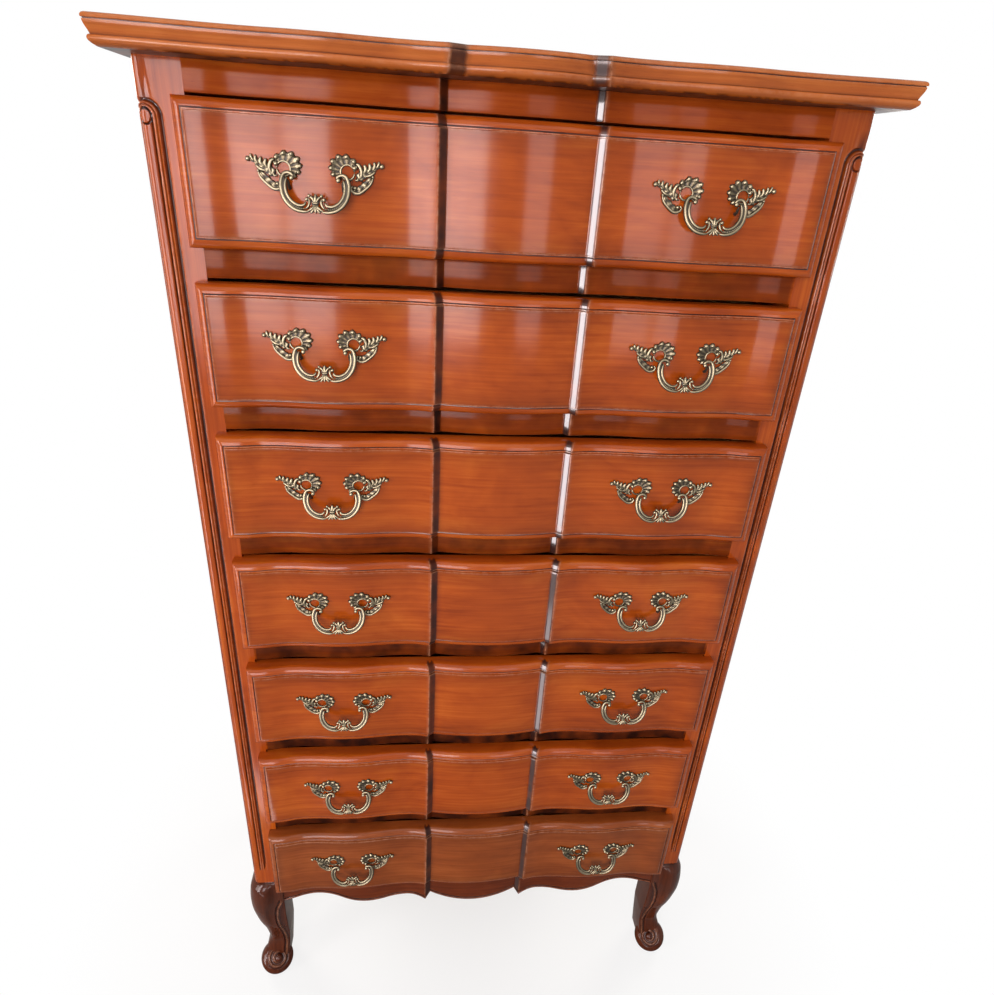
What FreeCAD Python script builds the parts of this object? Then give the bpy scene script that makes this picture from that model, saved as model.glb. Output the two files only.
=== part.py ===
"""Semainier: a tall chest of seven drawers with a stepped serpentine front on cabriole legs.

Frame: origin on the floor under the middle of the case, +X to the chest's right as seen from the
front, -Y towards the person who opens the drawers, +Z up. All lengths are in millimetres.
"""
import FreeCAD, Part
import Sketcher
import math
import os
import re

SIZES = [
    # overall
    ("height", 1510, "floor to the top's upper face"),
    ("top_width", 820, "width of the top"),
    ("depth", 470, "front edge of the top to the back"),
    ("case_width", 776, "outside of one corner post to the outside of the other"),
    ("top_thickness", 26, "thickness of the top"),
    ("top_front_overhang", 17, "top's front edge ahead of the drawer fronts"),
    ("frieze_height", 29, "rail between the top and the first drawer"),
    # drawers
    ("drawer_count", 7, "number of drawers"),
    ("drawer_base", 245, "floor to the lowest drawer front"),
    ("rail_height", 31, "rail between two drawers"),
    ("top_slot", 3.5, "gap above each drawer front"),
    ("bottom_clearance", 1.5, "gap below each drawer front"),
    ("lip_overlap", 10, "drawer front past the opening at each side"),
    ("lip_thickness", 24.5, "thickness of that lip"),
    ("lip_gap", 0.5, "lip to post when the drawer is shut"),
    ("front_thickness", 32, "whole thickness of a drawer front"),
    ("front_clearance", 1.5, "rebated back of the front to the post"),
    ("bead_width", 12.3, "width of the moulded edge of a drawer front"),
    ("bead_depth", 13, "fall of the moulded edge"),
    ("quirk_depth", 3, "step between the field and the moulded edge"),
    ("quirk_slope", 0.4, "width of that step's slope"),
    ("side_thickness", 12, "drawer sides and back"),
    ("side_clearance", 2, "drawer side to the opening's edge"),
    ("side_drop", 12, "drawer sides' top edge below the front's"),
    ("running_gap", 0.3, "drawer sides above the runners"),
    ("bottom_thickness", 6, "drawer bottom"),
    ("bottom_rise", 10, "drawer bottom above the sides' lower edge"),
    ("bottom_play", 0.5, "play of the bottom board against the drawer sides"),
    ("rear_play", 7, "drawer back to the rear rails"),
    # plan of the front: distances along X, then depths behind the drawer front's outer ends
    ("hollow_in", 68, "outer hollow, inwards from the end of the drawer front"),
    ("crown_in", 137.5, "crown of the outer swell and centre of the pull, inwards from the end"),
    ("cove_run", 28.5, "front corner of the step to the inner hollow"),
    ("step_back", 78.3, "back corner of the step, from the middle"),
    ("step_run", 9.2, "width of the step's slanting face"),
    ("step_shift", 0.35, "sideways travel of the step for each millimetre forward"),
    ("hollow_depth", 5.5, "depth of the outer hollow"),
    ("crown_depth", 2, "depth of the outer swell"),
    ("inner_depth", 7.1, "depth of the inner hollow"),
    ("corner_depth", 1.8, "depth of the step's front corner"),
    ("return_depth", 9.2, "depth of the step's back corner"),
    ("centre_depth", 1.6, "depth of the middle swell"),
    # case
    ("post_width", 48, "front corner post along X"),
    ("post_depth", 50, "front corner post along Y"),
    ("post_round", 8, "rounding of the post's outer corner"),
    ("foot_joint", 5, "joint of post and leg above the lowest drawer front's foot"),
    ("groove_at", 22, "outside of the post to the deep groove"),
    ("groove_width", 5, "width of the deep groove"),
    ("groove_deep", 4, "depth of the deep groove"),
    ("quirk_at", 13.2, "outside of the post to the narrow groove"),
    ("quirk_width", 3, "width of the narrow groove"),
    ("quirk_deep", 2.4, "depth of the narrow groove"),
    ("reed_rise", 33, "pointed end of the reeding above the joint of post and leg"),
    ("reed_drop", 53, "arched end of the reeding below the top"),
    ("button_at", 9, "outside of the post to the button at the reeding's head"),
    ("button_radius", 6, "radius of that button"),
    ("button_rise", 1.5, "button proud of the post"),
    ("rail_depth", 60, "rails and frieze along Y"),
    ("rear_post", 40, "rear post, square"),
    ("panel_thickness", 16, "side panels"),
    ("panel_inset", 5, "side panels in from the posts' outer faces"),
    ("back_thickness", 6, "back panel"),
    ("back_inset", 4, "back panel in from the rear face"),
    ("rear_rail_thickness", 20, "rear rails"),
    ("rear_rail_height", 60, "rear rails"),
    ("runner_height", 20, "drawer runners"),
    ("runner_width", 47, "drawer runners"),
    ("guide_height", 14, "guide strips above the runners"),
    ("guide_gap", 1.3, "guide strip to the drawer side"),
    ("floor_board", 6, "board under the lowest drawer"),
    ("block_size", 28, "glue blocks behind the apron"),
    # apron
    ("apron_thickness", 22, "thickness of the apron"),
    ("apron_end_drop", 47, "apron's lower edge at its ends, below its upper edge"),
    ("arch_in", 57, "top of the side arch, inwards from the apron's end"),
    ("arch_drop", 37.5, "top of the side arch below the apron's upper edge"),
    ("lobe_x", 189, "bottom of the side lobe, from the middle"),
    ("lobe_drop", 63, "bottom of the side lobe"),
    ("rise_x", 122, "hollow beside the point, from the middle"),
    ("rise_drop", 54.5, "hollow beside the point"),
    ("point_drop", 66.5, "tip of the point beneath the step"),
    ("return_drop", 54.5, "inner corner beside the point"),
    ("middle_drop", 71.5, "middle of the apron"),
    # front legs, outwards from the posts' faces
    ("knee_out", 12.5, "knee beyond the post's faces"),
    ("knee_drop", 40.5, "knee's widest level below the apron's upper edge"),
    ("calf_out", 3.5, "calf beyond the post's faces"),
    ("calf_height", 135, "floor to that level"),
    ("ankle_in", 8, "ankle inside the post's faces"),
    ("ankle_height", 70, "floor to the ankle"),
    ("leg_neck", 22, "floor to the leg's end inside the scroll"),
    ("neck_in", 17, "leg's end inside the scroll, inside the post's faces"),
    ("knee_bend", 40, "radius of the knee, which ends under the drawer front"),
    ("leg_chamfer", 10, "chamfer along the leg's outer arris"),
    ("shin_bend", 330, "radius of the shin, above and below the calf"),
    ("instep_in", 2, "meeting of instep and scroll, inside the post's faces"),
    ("instep_height", 42, "floor to that meeting"),
    ("instep_bend", 30, "radius between the ankle and the scroll"),
    ("scroll_radius", 28.5, "radius of the scrolled foot"),
    ("scroll_height", 28, "floor to the scroll's axis"),
    ("scroll_width", 28, "length of the scroll along its axis"),
    ("scroll_in", 19.5, "scroll's axis inside the post's outer faces, both ways"),
    ("rear_foot_depth", 26, "rear foot along Y"),
    ("rear_knee_out", 8, "rear leg's knee ahead of the rear post"),
    ("rear_knee_drop", 33.5, "rear leg's knee below the lowest runners"),
    ("rear_knee_bend", 60, "radius above the rear knee"),
    ("rear_toe", 4, "rear foot's toe ahead of its ankle"),
    # pulls, measured from the middle of the pull on its pivot line
    ("pull_drop", 67, "pivot line below the top edge of the drawer front"),
    ("pivot_standoff", 8.5, "pivot line ahead of the crown of the drawer front"),
    ("plate_thickness", 3, "rosette plates"),
    ("plate_seat", 27.12, "distance from the crown where a rosette lies parallel to the flatter swell"),
    ("plate_lift", 0.9, "its back ahead of the crown where it would cross the pull's middle"),
    ("head_gap", 1.6, "post head to the bail's arm"),
    ("head_radius", 4, "post head, to its corners"),
    ("head_length", 8, "post head along X"),
    ("bore_radius", 1.75, "bore in the post head, to its corners"),
    ("tang_play", 0.06, "corners of the square tang to that bore"),
    ("tang_short", 1.1, "end of the tang inside the head's far end"),
    ("bail_half_width", 36, "outside of the bail's arm, from the pull's middle"),
    ("bail_bar", 5, "width of the bail's bar"),
    ("bail_thickness", 4.2, "thickness of the bail"),
    ("bail_bend", 26, "outer radius of the bail's bends"),
    ("bail_top", 4.7, "top of the bail's arms above the pivot line"),
    ("bail_shoulder", 6.5, "start of the bends below the pivot line"),
    ("bail_tilt", 15, "degrees that the resting bail stands forward of upright"),
    ("crest_top", 13, "top of the bail's palmette below the pivot line"),
    ("crest_half_width", 11, "half width of the palmette"),
    ("crest_bottom", 34, "bottom of the palmette below the pivot line"),
]

BEND_SIDES = 4          # straight sides that make up each quarter bend of a bail
BORE_SIDES = 8          # straight sides that make up each bore

# Derived lines of the design, as expressions in the driving dimensions.
FRONT = "(top_front_overhang - depth / 2)"                     # Y of the drawer fronts' outer ends
FACE = f"({FRONT} + lip_thickness + lip_gap)"                  # Y of the posts' front faces
BACK = "(depth / 2)"                                           # Y of the rear faces
HALF_CASE = "(case_width / 2)"
OPENING = f"({HALF_CASE} - post_width)"                        # half width of the drawer openings
LIP = f"({OPENING} + lip_overlap)"                             # half width of the drawer fronts
CROWN = f"({LIP} - crown_in)"                                  # X of the outer swells and pulls
UNDER_TOP = "(height - top_thickness)"
PITCH = ("((height - top_thickness - frieze_height + rail_height + bottom_clearance - drawer_base)"
         " / drawer_count)")
FRONT_HEIGHT = f"({PITCH} - rail_height - top_slot - bottom_clearance)"
APRON_TOP = "(drawer_base - bottom_clearance)"
REAR_RAIL = f"({BACK} - back_inset - back_thickness - rear_rail_thickness)"
FRONT_BACK = f"({FRONT} + front_thickness)"                    # Y of the drawer fronts' flat back
BOX_END = f"({REAR_RAIL} - rear_play)"
BOX_HALF = f"({OPENING} - side_clearance)"
PANEL_INNER = f"({HALF_CASE} - panel_inset - panel_thickness)"
PIVOT_Y = f"({FRONT} + crown_depth - pivot_standoff)"
PIVOT_Z = f"({FRONT_HEIGHT} - pull_drop)"
STEP_FRONT = "(step_back + step_run)"                          # X of the step's front corner
INNER_HOLLOW = f"({STEP_FRONT} + cove_run)"
POST_FOOT = "(drawer_base + foot_joint)"
REED_FOOT = f"({POST_FOOT} + reed_rise)"
REED_HEAD = f"({UNDER_TOP} - reed_drop)"
ARCH_X = f"({OPENING} - arch_in)"
KNEE_HEIGHT = f"({APRON_TOP} - knee_drop)"
HEAD_AT = "(bail_half_width - bail_bar - head_gap - head_length / 2)"  # X of a head from the pull's middle
OUTER_SWELL = "((hollow_depth - crown_depth) / (crown_in - hollow_in)^2)"
INNER_SWELL = f"((inner_depth - crown_depth) / ({CROWN} - {INNER_HOLLOW})^2)"
PLATE_TURN = f"atan(4 * plate_seat * min({OUTER_SWELL}; {INNER_SWELL}))"
TANG_WIDTH = f"((bore_radius * cos(180 / {BORE_SIDES}) - tang_play) * sqrt(2))"

document = FreeCAD.newDocument("Semainier")
sheet = document.addObject("Spreadsheet::Sheet", "Sizes")
for line, (alias, number, meaning) in enumerate(SIZES, start=1):
    sheet.set(f"A{line}", meaning)
    sheet.set(f"B{line}", str(number))
    sheet.setAlias(f"B{line}", alias)
document.recompute()
ALIASES = {alias for alias, _, _ in SIZES}
nodes = {}


def bound(expression):
    """Return an expression with the sheet's name put before each driving dimension."""
    def full(word):
        return "Sizes." + word.group() if word.group() in ALIASES else word.group()
    return re.sub(r"[a-z_]+", full, expression)


def value(expression):
    """Return the number that an expression in the driving dimensions gives now."""
    return float(sheet.evalExpression(bound(expression)))


def bind(thing, prop, expression):
    """Set one property of an object and tie it to the sheet."""
    thing.setExpression(prop, bound(expression))


def keep(node, thing):
    """Name an object as one of the chest's sub-parts."""
    thing.Label = node
    nodes[node] = thing
    return thing


def edge(start, end, bend):
    """Return a straight or bent edge, and which of its ends, 1 or 2, is its start."""
    if bend == 0:
        return Part.LineSegment(start, end), 1
    chord = end - start
    reach = math.sqrt(max(bend * bend - chord.Length ** 2 / 4, 0))
    across = FreeCAD.Vector(-chord.y, chord.x, 0).normalize()
    centre = (start + end) * 0.5 + across * math.copysign(reach, bend)
    first, last = (start, end) if bend > 0 else (end, start)
    angles = [math.atan2(point.y - centre.y, point.x - centre.x) for point in (first, last)]
    circle = Part.Circle(centre, FreeCAD.Vector(0, 0, 1), abs(bend))
    return Part.ArcOfCircle(circle, angles[0], angles[1]), 1 if bend > 0 else 2


def draw(sketch, corners):
    """Draw a closed outline through corners of (x, y) or (x, y, bend), all expressions.

    The bend is the radius of the edge that leaves the corner, positive where it turns left.
    """
    points = [FreeCAD.Vector(value(corner[0]), value(corner[1]), 0) for corner in corners]
    base = sketch.GeometryCount
    starts = []
    for index, corner in enumerate(corners):
        bend = value(corner[2]) if len(corner) > 2 else 0
        shape, start = edge(points[index], points[(index + 1) % len(points)], bend)
        sketch.addGeometry(shape, False)
        starts.append(start)
    for index, corner in enumerate(corners):
        here = base + index
        after = (index + 1) % len(corners)
        end = 3 - starts[index]
        sketch.addConstraint(Sketcher.Constraint("Coincident", here, end, base + after, starts[after]))
    for index, corner in enumerate(corners):
        here = base + index
        ties = [("DistanceX", corner[0], points[index].x), ("DistanceY", corner[1], points[index].y)]
        for kind, expression, number in ties:
            tie = sketch.addConstraint(Sketcher.Constraint(kind, here, starts[index], number))
            bind(sketch, f"Constraints[{tie}]", expression)
        if len(corner) > 2:
            radius = abs(value(corner[2]))
            tie = sketch.addConstraint(Sketcher.Constraint("Radius", here, radius))
            bind(sketch, f"Constraints[{tie}]", corner[2].lstrip("-"))


def sketch_in(body, role, offset, outlines):
    """Add a sketch of closed outlines to a body, on one of its origin planes moved by offset."""
    sketch = body.newObject("Sketcher::SketchObject", body.Name + "Sketch")
    plane = next(item for item in body.Origin.OriginFeatures if item.Role == role)
    sketch.AttachmentSupport = (plane, [""])
    sketch.MapMode = "FlatFace"
    bind(sketch, "AttachmentOffset.Base.z", offset)
    for corners in outlines:
        draw(sketch, corners)
    return sketch


def pad(name, role, start, length, outlines):
    """Return a body: closed outlines on a plane, extruded along its normal from start."""
    body = document.addObject("PartDesign::Body", name)
    body.AllowCompound = True
    feature = body.newObject("PartDesign::Pad", name + "Pad")
    feature.Profile = sketch_in(body, role, start, outlines)
    bind(feature, "Length", length)
    body.Tip = feature
    return body


def level(name, height, corners):
    """Return a free level sketch at a height, one section of a loft."""
    sketch = document.addObject("Sketcher::SketchObject", name)
    bind(sketch, "Placement.Base.z", height)
    draw(sketch, corners)
    return sketch


def loft(name, sections):
    """Return the ruled solid through a stack of level sketches."""
    solid = document.addObject("Part::Loft", name)
    solid.Sections = sections
    solid.Solid = True
    solid.Ruled = True
    return solid


def box(name, corner, lengths):
    """Return a box from its lowest corner and its lengths along X, Y and Z, all expressions."""
    solid = document.addObject("Part::Box", name)
    for prop, expression in zip(("Length", "Width", "Height"), lengths):
        bind(solid, prop, expression)
    for axis, expression in zip("xyz", corner):
        bind(solid, f"Placement.Base.{axis}", expression)
    return solid


def cylinder(name, radius, length, base, direction):
    """Return a cylinder from the middle of one end and its direction."""
    solid = document.addObject("Part::Cylinder", name)
    solid.Placement = FreeCAD.Placement(
        FreeCAD.Vector(), FreeCAD.Rotation(FreeCAD.Vector(0, 0, 1), FreeCAD.Vector(*direction)))
    bind(solid, "Radius", radius)
    bind(solid, "Height", length)
    for axis, expression in zip("xyz", base):
        bind(solid, f"Placement.Base.{axis}", expression)
    return solid


def combine(kind, name, shapes):
    """Return a Part::MultiFuse, Part::MultiCommon or Part::Compound of shapes."""
    solid = document.addObject(kind, name)
    if kind == "Part::Compound":
        solid.Links = shapes
    else:
        solid.Shapes = shapes
    return solid


def cut(name, base, tool):
    """Return one shape less another."""
    solid = document.addObject("Part::Cut", name)
    solid.Base = base
    solid.Tool = tool
    return solid


def mirror(name, source):
    """Return the mirror image of a shape, left for right."""
    solid = document.addObject("Part::Mirroring", name)
    solid.Source = source
    solid.Normal = FreeCAD.Vector(1, 0, 0)
    return solid


def copy(name, source, shift, turn=None, axis=(1, 0, 0)):
    """Return a copy of a shape, turned about an axis and moved, by expressions."""
    link = document.addObject("App::Link", name)
    link.LinkedObject = source
    link.LinkTransform = True
    if turn:
        rotation = FreeCAD.Rotation(FreeCAD.Vector(*axis), value(turn))
        link.Placement = FreeCAD.Placement(FreeCAD.Vector(), rotation)
        bind(link, "Placement.Rotation.Angle", turn)
    for letter, expression in zip("xyz", shift):
        bind(link, f"Placement.Base.{letter}", expression)
    return link


def s_curve(start, end, backward):
    """Return the two corners of an S of equal arcs that leaves and arrives along X."""
    (x0, y0), (x1, y1) = start, end
    bend = f"((({x1}) - ({x0}))^2 + (({y1}) - ({y0}))^2) / (4 * abs(({y1}) - ({y0})))"
    first, second = (bend, "-" + bend) if backward else ("-" + bend, bend)
    return [(x0, y0, first), (f"(({x0}) + ({x1})) / 2", f"(({y0}) + ({y1})) / 2", second)]


def serpentine(ahead, half, at=FRONT):
    """Return the front edge in plan, left to right without its last point.

    It lies the distance ahead in front of the line at, and ends at the half width given.
    """
    def depth_at(extra):
        return f"{at} - ({ahead}) + {extra}"
    step_front = f"({STEP_FRONT} - step_shift * ({ahead}))"
    step_back = f"(step_back - step_shift * ({ahead}))"
    hollow = f"({LIP} - hollow_in)"
    ends = [(half, depth_at("0")), (hollow, depth_at("hollow_depth")), (CROWN, depth_at("crown_depth")),
            (INNER_HOLLOW, depth_at("inner_depth"))]
    corner = (step_front, depth_at("corner_depth"))
    inner = (step_back, depth_at("return_depth"))
    fall = "(inner_depth - corner_depth)"
    cove = f"(({INNER_HOLLOW} - {step_front})^2 + {fall}^2) / (2 * {fall})"
    rise = "(return_depth - centre_depth)"
    swell = f"({step_back}^2 + {rise}^2) / (2 * {rise})"

    def left(point):
        return (f"-{point[0]}", point[1])
    corners = []
    for index, backward in enumerate((True, False, True)):
        corners += s_curve(left(ends[index]), left(ends[index + 1]), backward)
    corners.append(left(ends[3]) + ("-" + cove,))
    corners.append(left(corner))
    corners.append(left(inner) + (swell,))
    corners.append(inner)
    corners.append(corner + ("-" + cove,))
    for index, backward in zip((3, 2, 1), (False, True, False)):
        corners += s_curve(ends[index], ends[index - 1], backward)
    return corners


def board(ahead, half, back, at=FRONT):
    """Return the plan of a board with the serpentine front edge and a straight back."""
    return serpentine(ahead, half, at) + [(half, f"{at} - ({ahead})"), (half, back), (f"-{half}", back)]


def make_top():
    """The top: a board whose edge has a round nose, a cove, a bead and a hollow beneath."""
    half = "(top_width / 2)"
    edge_line = [("0", "2.8"), ("4", "0"), ("5", "1.4"), ("16.5", "4.2"), ("18", "2.6"), ("21.5", "2.6"),
                 ("top_thickness", "8")]
    sections = []
    for index, (down, inset) in enumerate(reversed(edge_line)):
        ahead = f"top_front_overhang - {inset}"
        plan = board(ahead, f"({half} - {inset})", BACK)
        sections.append(level(f"TopLevel{index}", f"height - {down}", plan))
    keep("top", loft("Top", sections))


def make_rails():
    """The frieze, the rails between the drawers and the shaped apron."""
    rear = f"{FACE} + rail_depth"
    plan = board("0", OPENING, rear, FACE)
    frieze_foot = f"{UNDER_TOP} - frieze_height"
    keep("frieze_rail", pad("FriezeRail", "XY_Plane", frieze_foot, "frieze_height", [plan]))
    rail = pad("Rail", "XY_Plane", "-rail_height", "rail_height", [plan])
    rails = []
    for index in range(1, int(value("drawer_count"))):
        rise = f"drawer_base + {index} * {PITCH} - bottom_clearance"
        rails.append(copy(f"Rail{index}", rail, ("0", "0", rise)))
    keep("drawer_rails", combine("Part::Compound", "DrawerRails", rails))


def make_apron():
    """The apron: the serpentine plan, sawn beneath to arches, lobes and points."""
    lowest = "(middle_drop + apron_thickness)"
    blank = pad("ApronBlank", "XY_Plane", f"{APRON_TOP} - {lowest}", lowest,
                [board("0", OPENING, f"{FACE} + apron_thickness + return_depth", FACE)])

    def drop(name):
        return f"{APRON_TOP} - {name}"

    def bend(dx, dy):
        return f"(({dx})^2 + ({dy})^2) / (2 * ({dy}))"
    end = (OPENING, drop("apron_end_drop"))
    arch = (ARCH_X, drop("arch_drop"))
    lobe = ("lobe_x", drop("lobe_drop"))
    rise = ("rise_x", drop("rise_drop"))
    tip = (STEP_FRONT, drop("point_drop"))
    inner = ("step_back", drop("return_drop"))
    side = f"-{bend('arch_in', 'apron_end_drop - arch_drop')}"
    point = f"-{bend(f'rise_x - {STEP_FRONT}', 'point_drop - rise_drop')}"
    middle = bend("step_back", "middle_drop - return_drop")

    def left(corner):
        return (f"-{corner[0]}",) + corner[1:]
    corners = [left(end) + (side,)]
    corners += s_curve(left(arch), left(lobe), False)
    corners += s_curve(left(lobe), left(rise), True)
    corners += [left(rise) + (point,), left(tip), left(inner) + (middle,), inner, tip + (point,)]
    corners += s_curve(rise, lobe, False)
    corners += s_curve(lobe, arch, True)
    corners += [arch + (side,), end, (OPENING, APRON_TOP), (f"-{OPENING}", APRON_TOP)]
    front = f"-({FACE} - apron_thickness)"
    elevation = pad("ApronElevation", "XZ_Plane", f"{front} - 3 * apron_thickness", "3 * apron_thickness",
                    [corners])
    keep("apron", combine("Part::MultiCommon", "Apron", [blank, elevation]))


def make_posts():
    """The four corner posts; the front pair is reeded between a pointed and an arched end."""
    inner, outer = OPENING, HALF_CASE
    section = [(inner, FACE), (f"{outer} - post_round", FACE, "post_round"),
               (outer, f"{FACE} + post_round"), (outer, f"{FACE} + post_depth"),
               (inner, f"{FACE} + post_depth")]
    post = pad("Post", "XY_Plane", POST_FOOT, f"{UNDER_TOP} - {POST_FOOT}", [section])
    grooves = []
    for at, width, deep in (("groove_at", "groove_width", "groove_deep"),
                            ("quirk_at", "quirk_width", "quirk_deep")):
        middle = f"({outer} - {at})"
        grooves.append([(f"{middle} - {width} / 2", f"{FACE} - 1"),
                        (f"{middle} + {width} / 2", f"{FACE} - 1"),
                        (f"{middle} + {width} / 2", FACE), (middle, f"{FACE} + {deep}"),
                        (f"{middle} - {width} / 2", FACE)])
    reeding = post.newObject("PartDesign::Pocket", "Reeding")
    reeding.Profile = sketch_in(post, "XY_Plane", REED_FOOT, grooves)
    bind(reeding, "Length", f"{REED_HEAD} - {REED_FOOT}")
    reeding.Reversed = True
    post.Tip = reeding
    button = cylinder("PostButton", "button_radius", "button_rise + 1",
                      (f"{outer} - button_at - button_radius / 2", f"{FACE} + 1", REED_HEAD), (0, -1, 0))
    whole = combine("Part::MultiFuse", "FrontPost", [post, button])
    keep("corner_post_right", whole)
    keep("corner_post_left", mirror("FrontPostLeft", whole))
    rear = box("RearPost", (f"{HALF_CASE} - rear_post", f"{BACK} - rear_post", POST_FOOT),
               ("rear_post", "rear_post", f"{UNDER_TOP} - {POST_FOOT}"))
    keep("rear_posts", combine("Part::Compound", "RearPosts", [rear, mirror("RearPostLeft", rear)]))


def make_front_leg():
    """A cabriole leg: one outline sawn on two faces and along the diagonal, with a scrolled foot."""
    def outline(out, turn, back, flatter=""):
        """The outline seen from one side; out places a distance beyond the post's face."""
        return [(out("-post_width"), POST_FOOT), (out("-post_width"), "leg_neck"),
                (out("-neck_in"), "leg_neck"),
                (out("-instep_in"), "instep_height", f"{back}instep_bend{flatter}"),
                (out("-ankle_in"), "ankle_height", f"{back}shin_bend{flatter}"),
                (out("calf_out"), "calf_height", f"{turn}shin_bend{flatter}"),
                (out("knee_out"), KNEE_HEIGHT, f"{turn}knee_bend{flatter}"),
                (out("0"), APRON_TOP), (out("0"), POST_FOOT)]

    def beside(distance):
        return f"({HALF_CASE} + ({distance}))"

    def before(distance):
        return f"({FACE} - ({distance}))"

    def across(distance):
        return f"(sqrt(2) * ({distance}) - leg_chamfer / sqrt(2))"
    reach = "2 * post_width"
    shank = pad("LegShank", "XZ_Plane", f"-({FACE} + 1.6 * post_width)", reach, [outline(beside, "", "-")])
    near, far = f"({FACE} - 2 * post_width)", f"({FACE} + 2 * post_width)"
    waste = [(near, "-post_width"), (far, "-post_width"), (far, f"{POST_FOOT} + post_width"),
             (near, f"{POST_FOOT} + post_width")]
    sawn = shank.newObject("PartDesign::Pocket", "LegSawn")
    sawn.Profile = sketch_in(shank, "YZ_Plane", HALF_CASE, [waste, outline(before, "-", "")])
    sawn.Type = "ThroughAll"
    sawn.Midplane = True
    shank.Tip = sawn
    slab = pad("LegArris", "XZ_Plane", f"-{reach}", f"2 * {reach}", [outline(across, "", "-", " / sqrt(2)")])
    arris = copy("LegArrisTurned", slab, (HALF_CASE, FACE, "0"), "-45", (0, 0, 1))
    span = "scroll_width / 2 * sqrt(2) / 2"
    axis_x, axis_y = f"{HALF_CASE} - scroll_in", f"{FACE} + scroll_in"
    scroll = cylinder("Scroll", "scroll_radius", "scroll_width",
                      (f"{axis_x} - {span}", f"{axis_y} - {span}", "scroll_height"), (1, 1, 0))
    ground = box("LegGround", (f"{HALF_CASE} - 3 * post_width", f"{FACE} - 2 * post_width", "0"),
                 ("5 * post_width", "5 * post_width", POST_FOOT))
    bevelled = combine("Part::MultiCommon", "LegBevelled", [shank, arris])
    whole = combine("Part::MultiFuse", "LegWhole", [bevelled, scroll])
    leg = combine("Part::MultiCommon", "FrontLeg", [whole, ground])
    keep("front_leg_right", leg)
    keep("front_leg_left", mirror("FrontLegLeft", leg))


def make_rear_leg():
    """A rear leg: sawn on its sides only, with a knee in front and a straight back."""
    front = f"({BACK} - rear_post)"
    foot = f"({BACK} - rear_foot_depth)"
    top = f"({APRON_TOP} - runner_height)"
    corners = [(BACK, "0"), (BACK, POST_FOOT), (front, POST_FOOT),
               (front, top, "rear_knee_bend"),
               (f"{front} - rear_knee_out", f"{top} - rear_knee_drop", "shin_bend"),
               (foot, "ankle_height", "-shin_bend"), (f"{foot} - rear_toe", "0")]
    leg = pad("RearLeg", "YZ_Plane", f"{HALF_CASE} - rear_post", "rear_post", [corners])
    keep("rear_leg_right", leg)
    keep("rear_leg_left", mirror("RearLegLeft", leg))


def make_panels():
    """The sides, the back, the rear rails, the board under the drawers and the glue blocks."""
    side = box("SidePanel", (PANEL_INNER, f"{FACE} + post_depth", f"{APRON_TOP} - runner_height"),
               ("panel_thickness", f"{BACK} - rear_post - ({FACE} + post_depth)",
                f"{UNDER_TOP} - ({APRON_TOP} - runner_height)"))
    keep("side_panel_right", side)
    keep("side_panel_left", mirror("SidePanelLeft", side))
    between = f"({HALF_CASE} - rear_post)"
    keep("back_panel", box("BackPanel", (f"-{between}", f"{BACK} - back_inset - back_thickness",
                                         f"{APRON_TOP} - runner_height"),
                           (f"2 * {between}", "back_thickness",
                            f"{UNDER_TOP} - ({APRON_TOP} - runner_height)")))
    rails = []
    for name, foot in (("Upper", f"{UNDER_TOP} - rear_rail_height"),
                       ("Lower", f"{APRON_TOP} - runner_height")):
        rails.append(box(f"RearRail{name}", (f"-{between}", REAR_RAIL, foot),
                         (f"2 * {between}", "rear_rail_thickness", "rear_rail_height")))
    keep("rear_rails", combine("Part::Compound", "RearRails", rails))
    front = f"({FACE} + apron_thickness + return_depth)"
    under = f"{APRON_TOP} - runner_height - floor_board"
    keep("dust_bottom", box("DustBottom", (f"-{OPENING}", front, under),
                            (f"2 * {OPENING}", f"{REAR_RAIL} - {front}", "floor_board")))
    block = box("GlueBlock", (f"{OPENING} - block_size", front,
                              f"{APRON_TOP} - runner_height - floor_board - block_size"),
                ("block_size", "block_size", "block_size"))
    keep("corner_blocks", combine("Part::Compound", "CornerBlocks", [block, mirror("GlueBlockLeft", block)]))


def make_runners():
    """A runner and a guide strip at each side of every drawer, and a cleat beneath the top."""
    rail_back = f"({FACE} + rail_depth)"
    run = f"{BACK} - rear_post - {rail_back}"
    inner = f"({PANEL_INNER} - runner_width)"
    guide = f"({BOX_HALF} + guide_gap)"
    runner = box("Runner", (inner, rail_back, "-runner_height"), ("runner_width", run, "runner_height"))
    strip = box("Guide", (guide, rail_back, "0"), (f"{PANEL_INNER} - {guide}", run, "guide_height"))
    support = combine("Part::Compound", "Support",
                      [runner, strip, mirror("RunnerLeft", runner), mirror("GuideLeft", strip)])
    supports = []
    for index in range(int(value("drawer_count"))):
        rise = f"drawer_base - bottom_clearance + {index} * {PITCH}"
        supports.append(copy(f"Support{index}", support, ("0", "0", rise)))
    cleat = box("Cleat", (inner, rail_back, f"{UNDER_TOP} - runner_height"),
                ("runner_width", run, "runner_height"))
    supports += [cleat, mirror("CleatLeft", cleat)]
    keep("drawer_runners", combine("Part::Compound", "DrawerRunners", supports))


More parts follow.
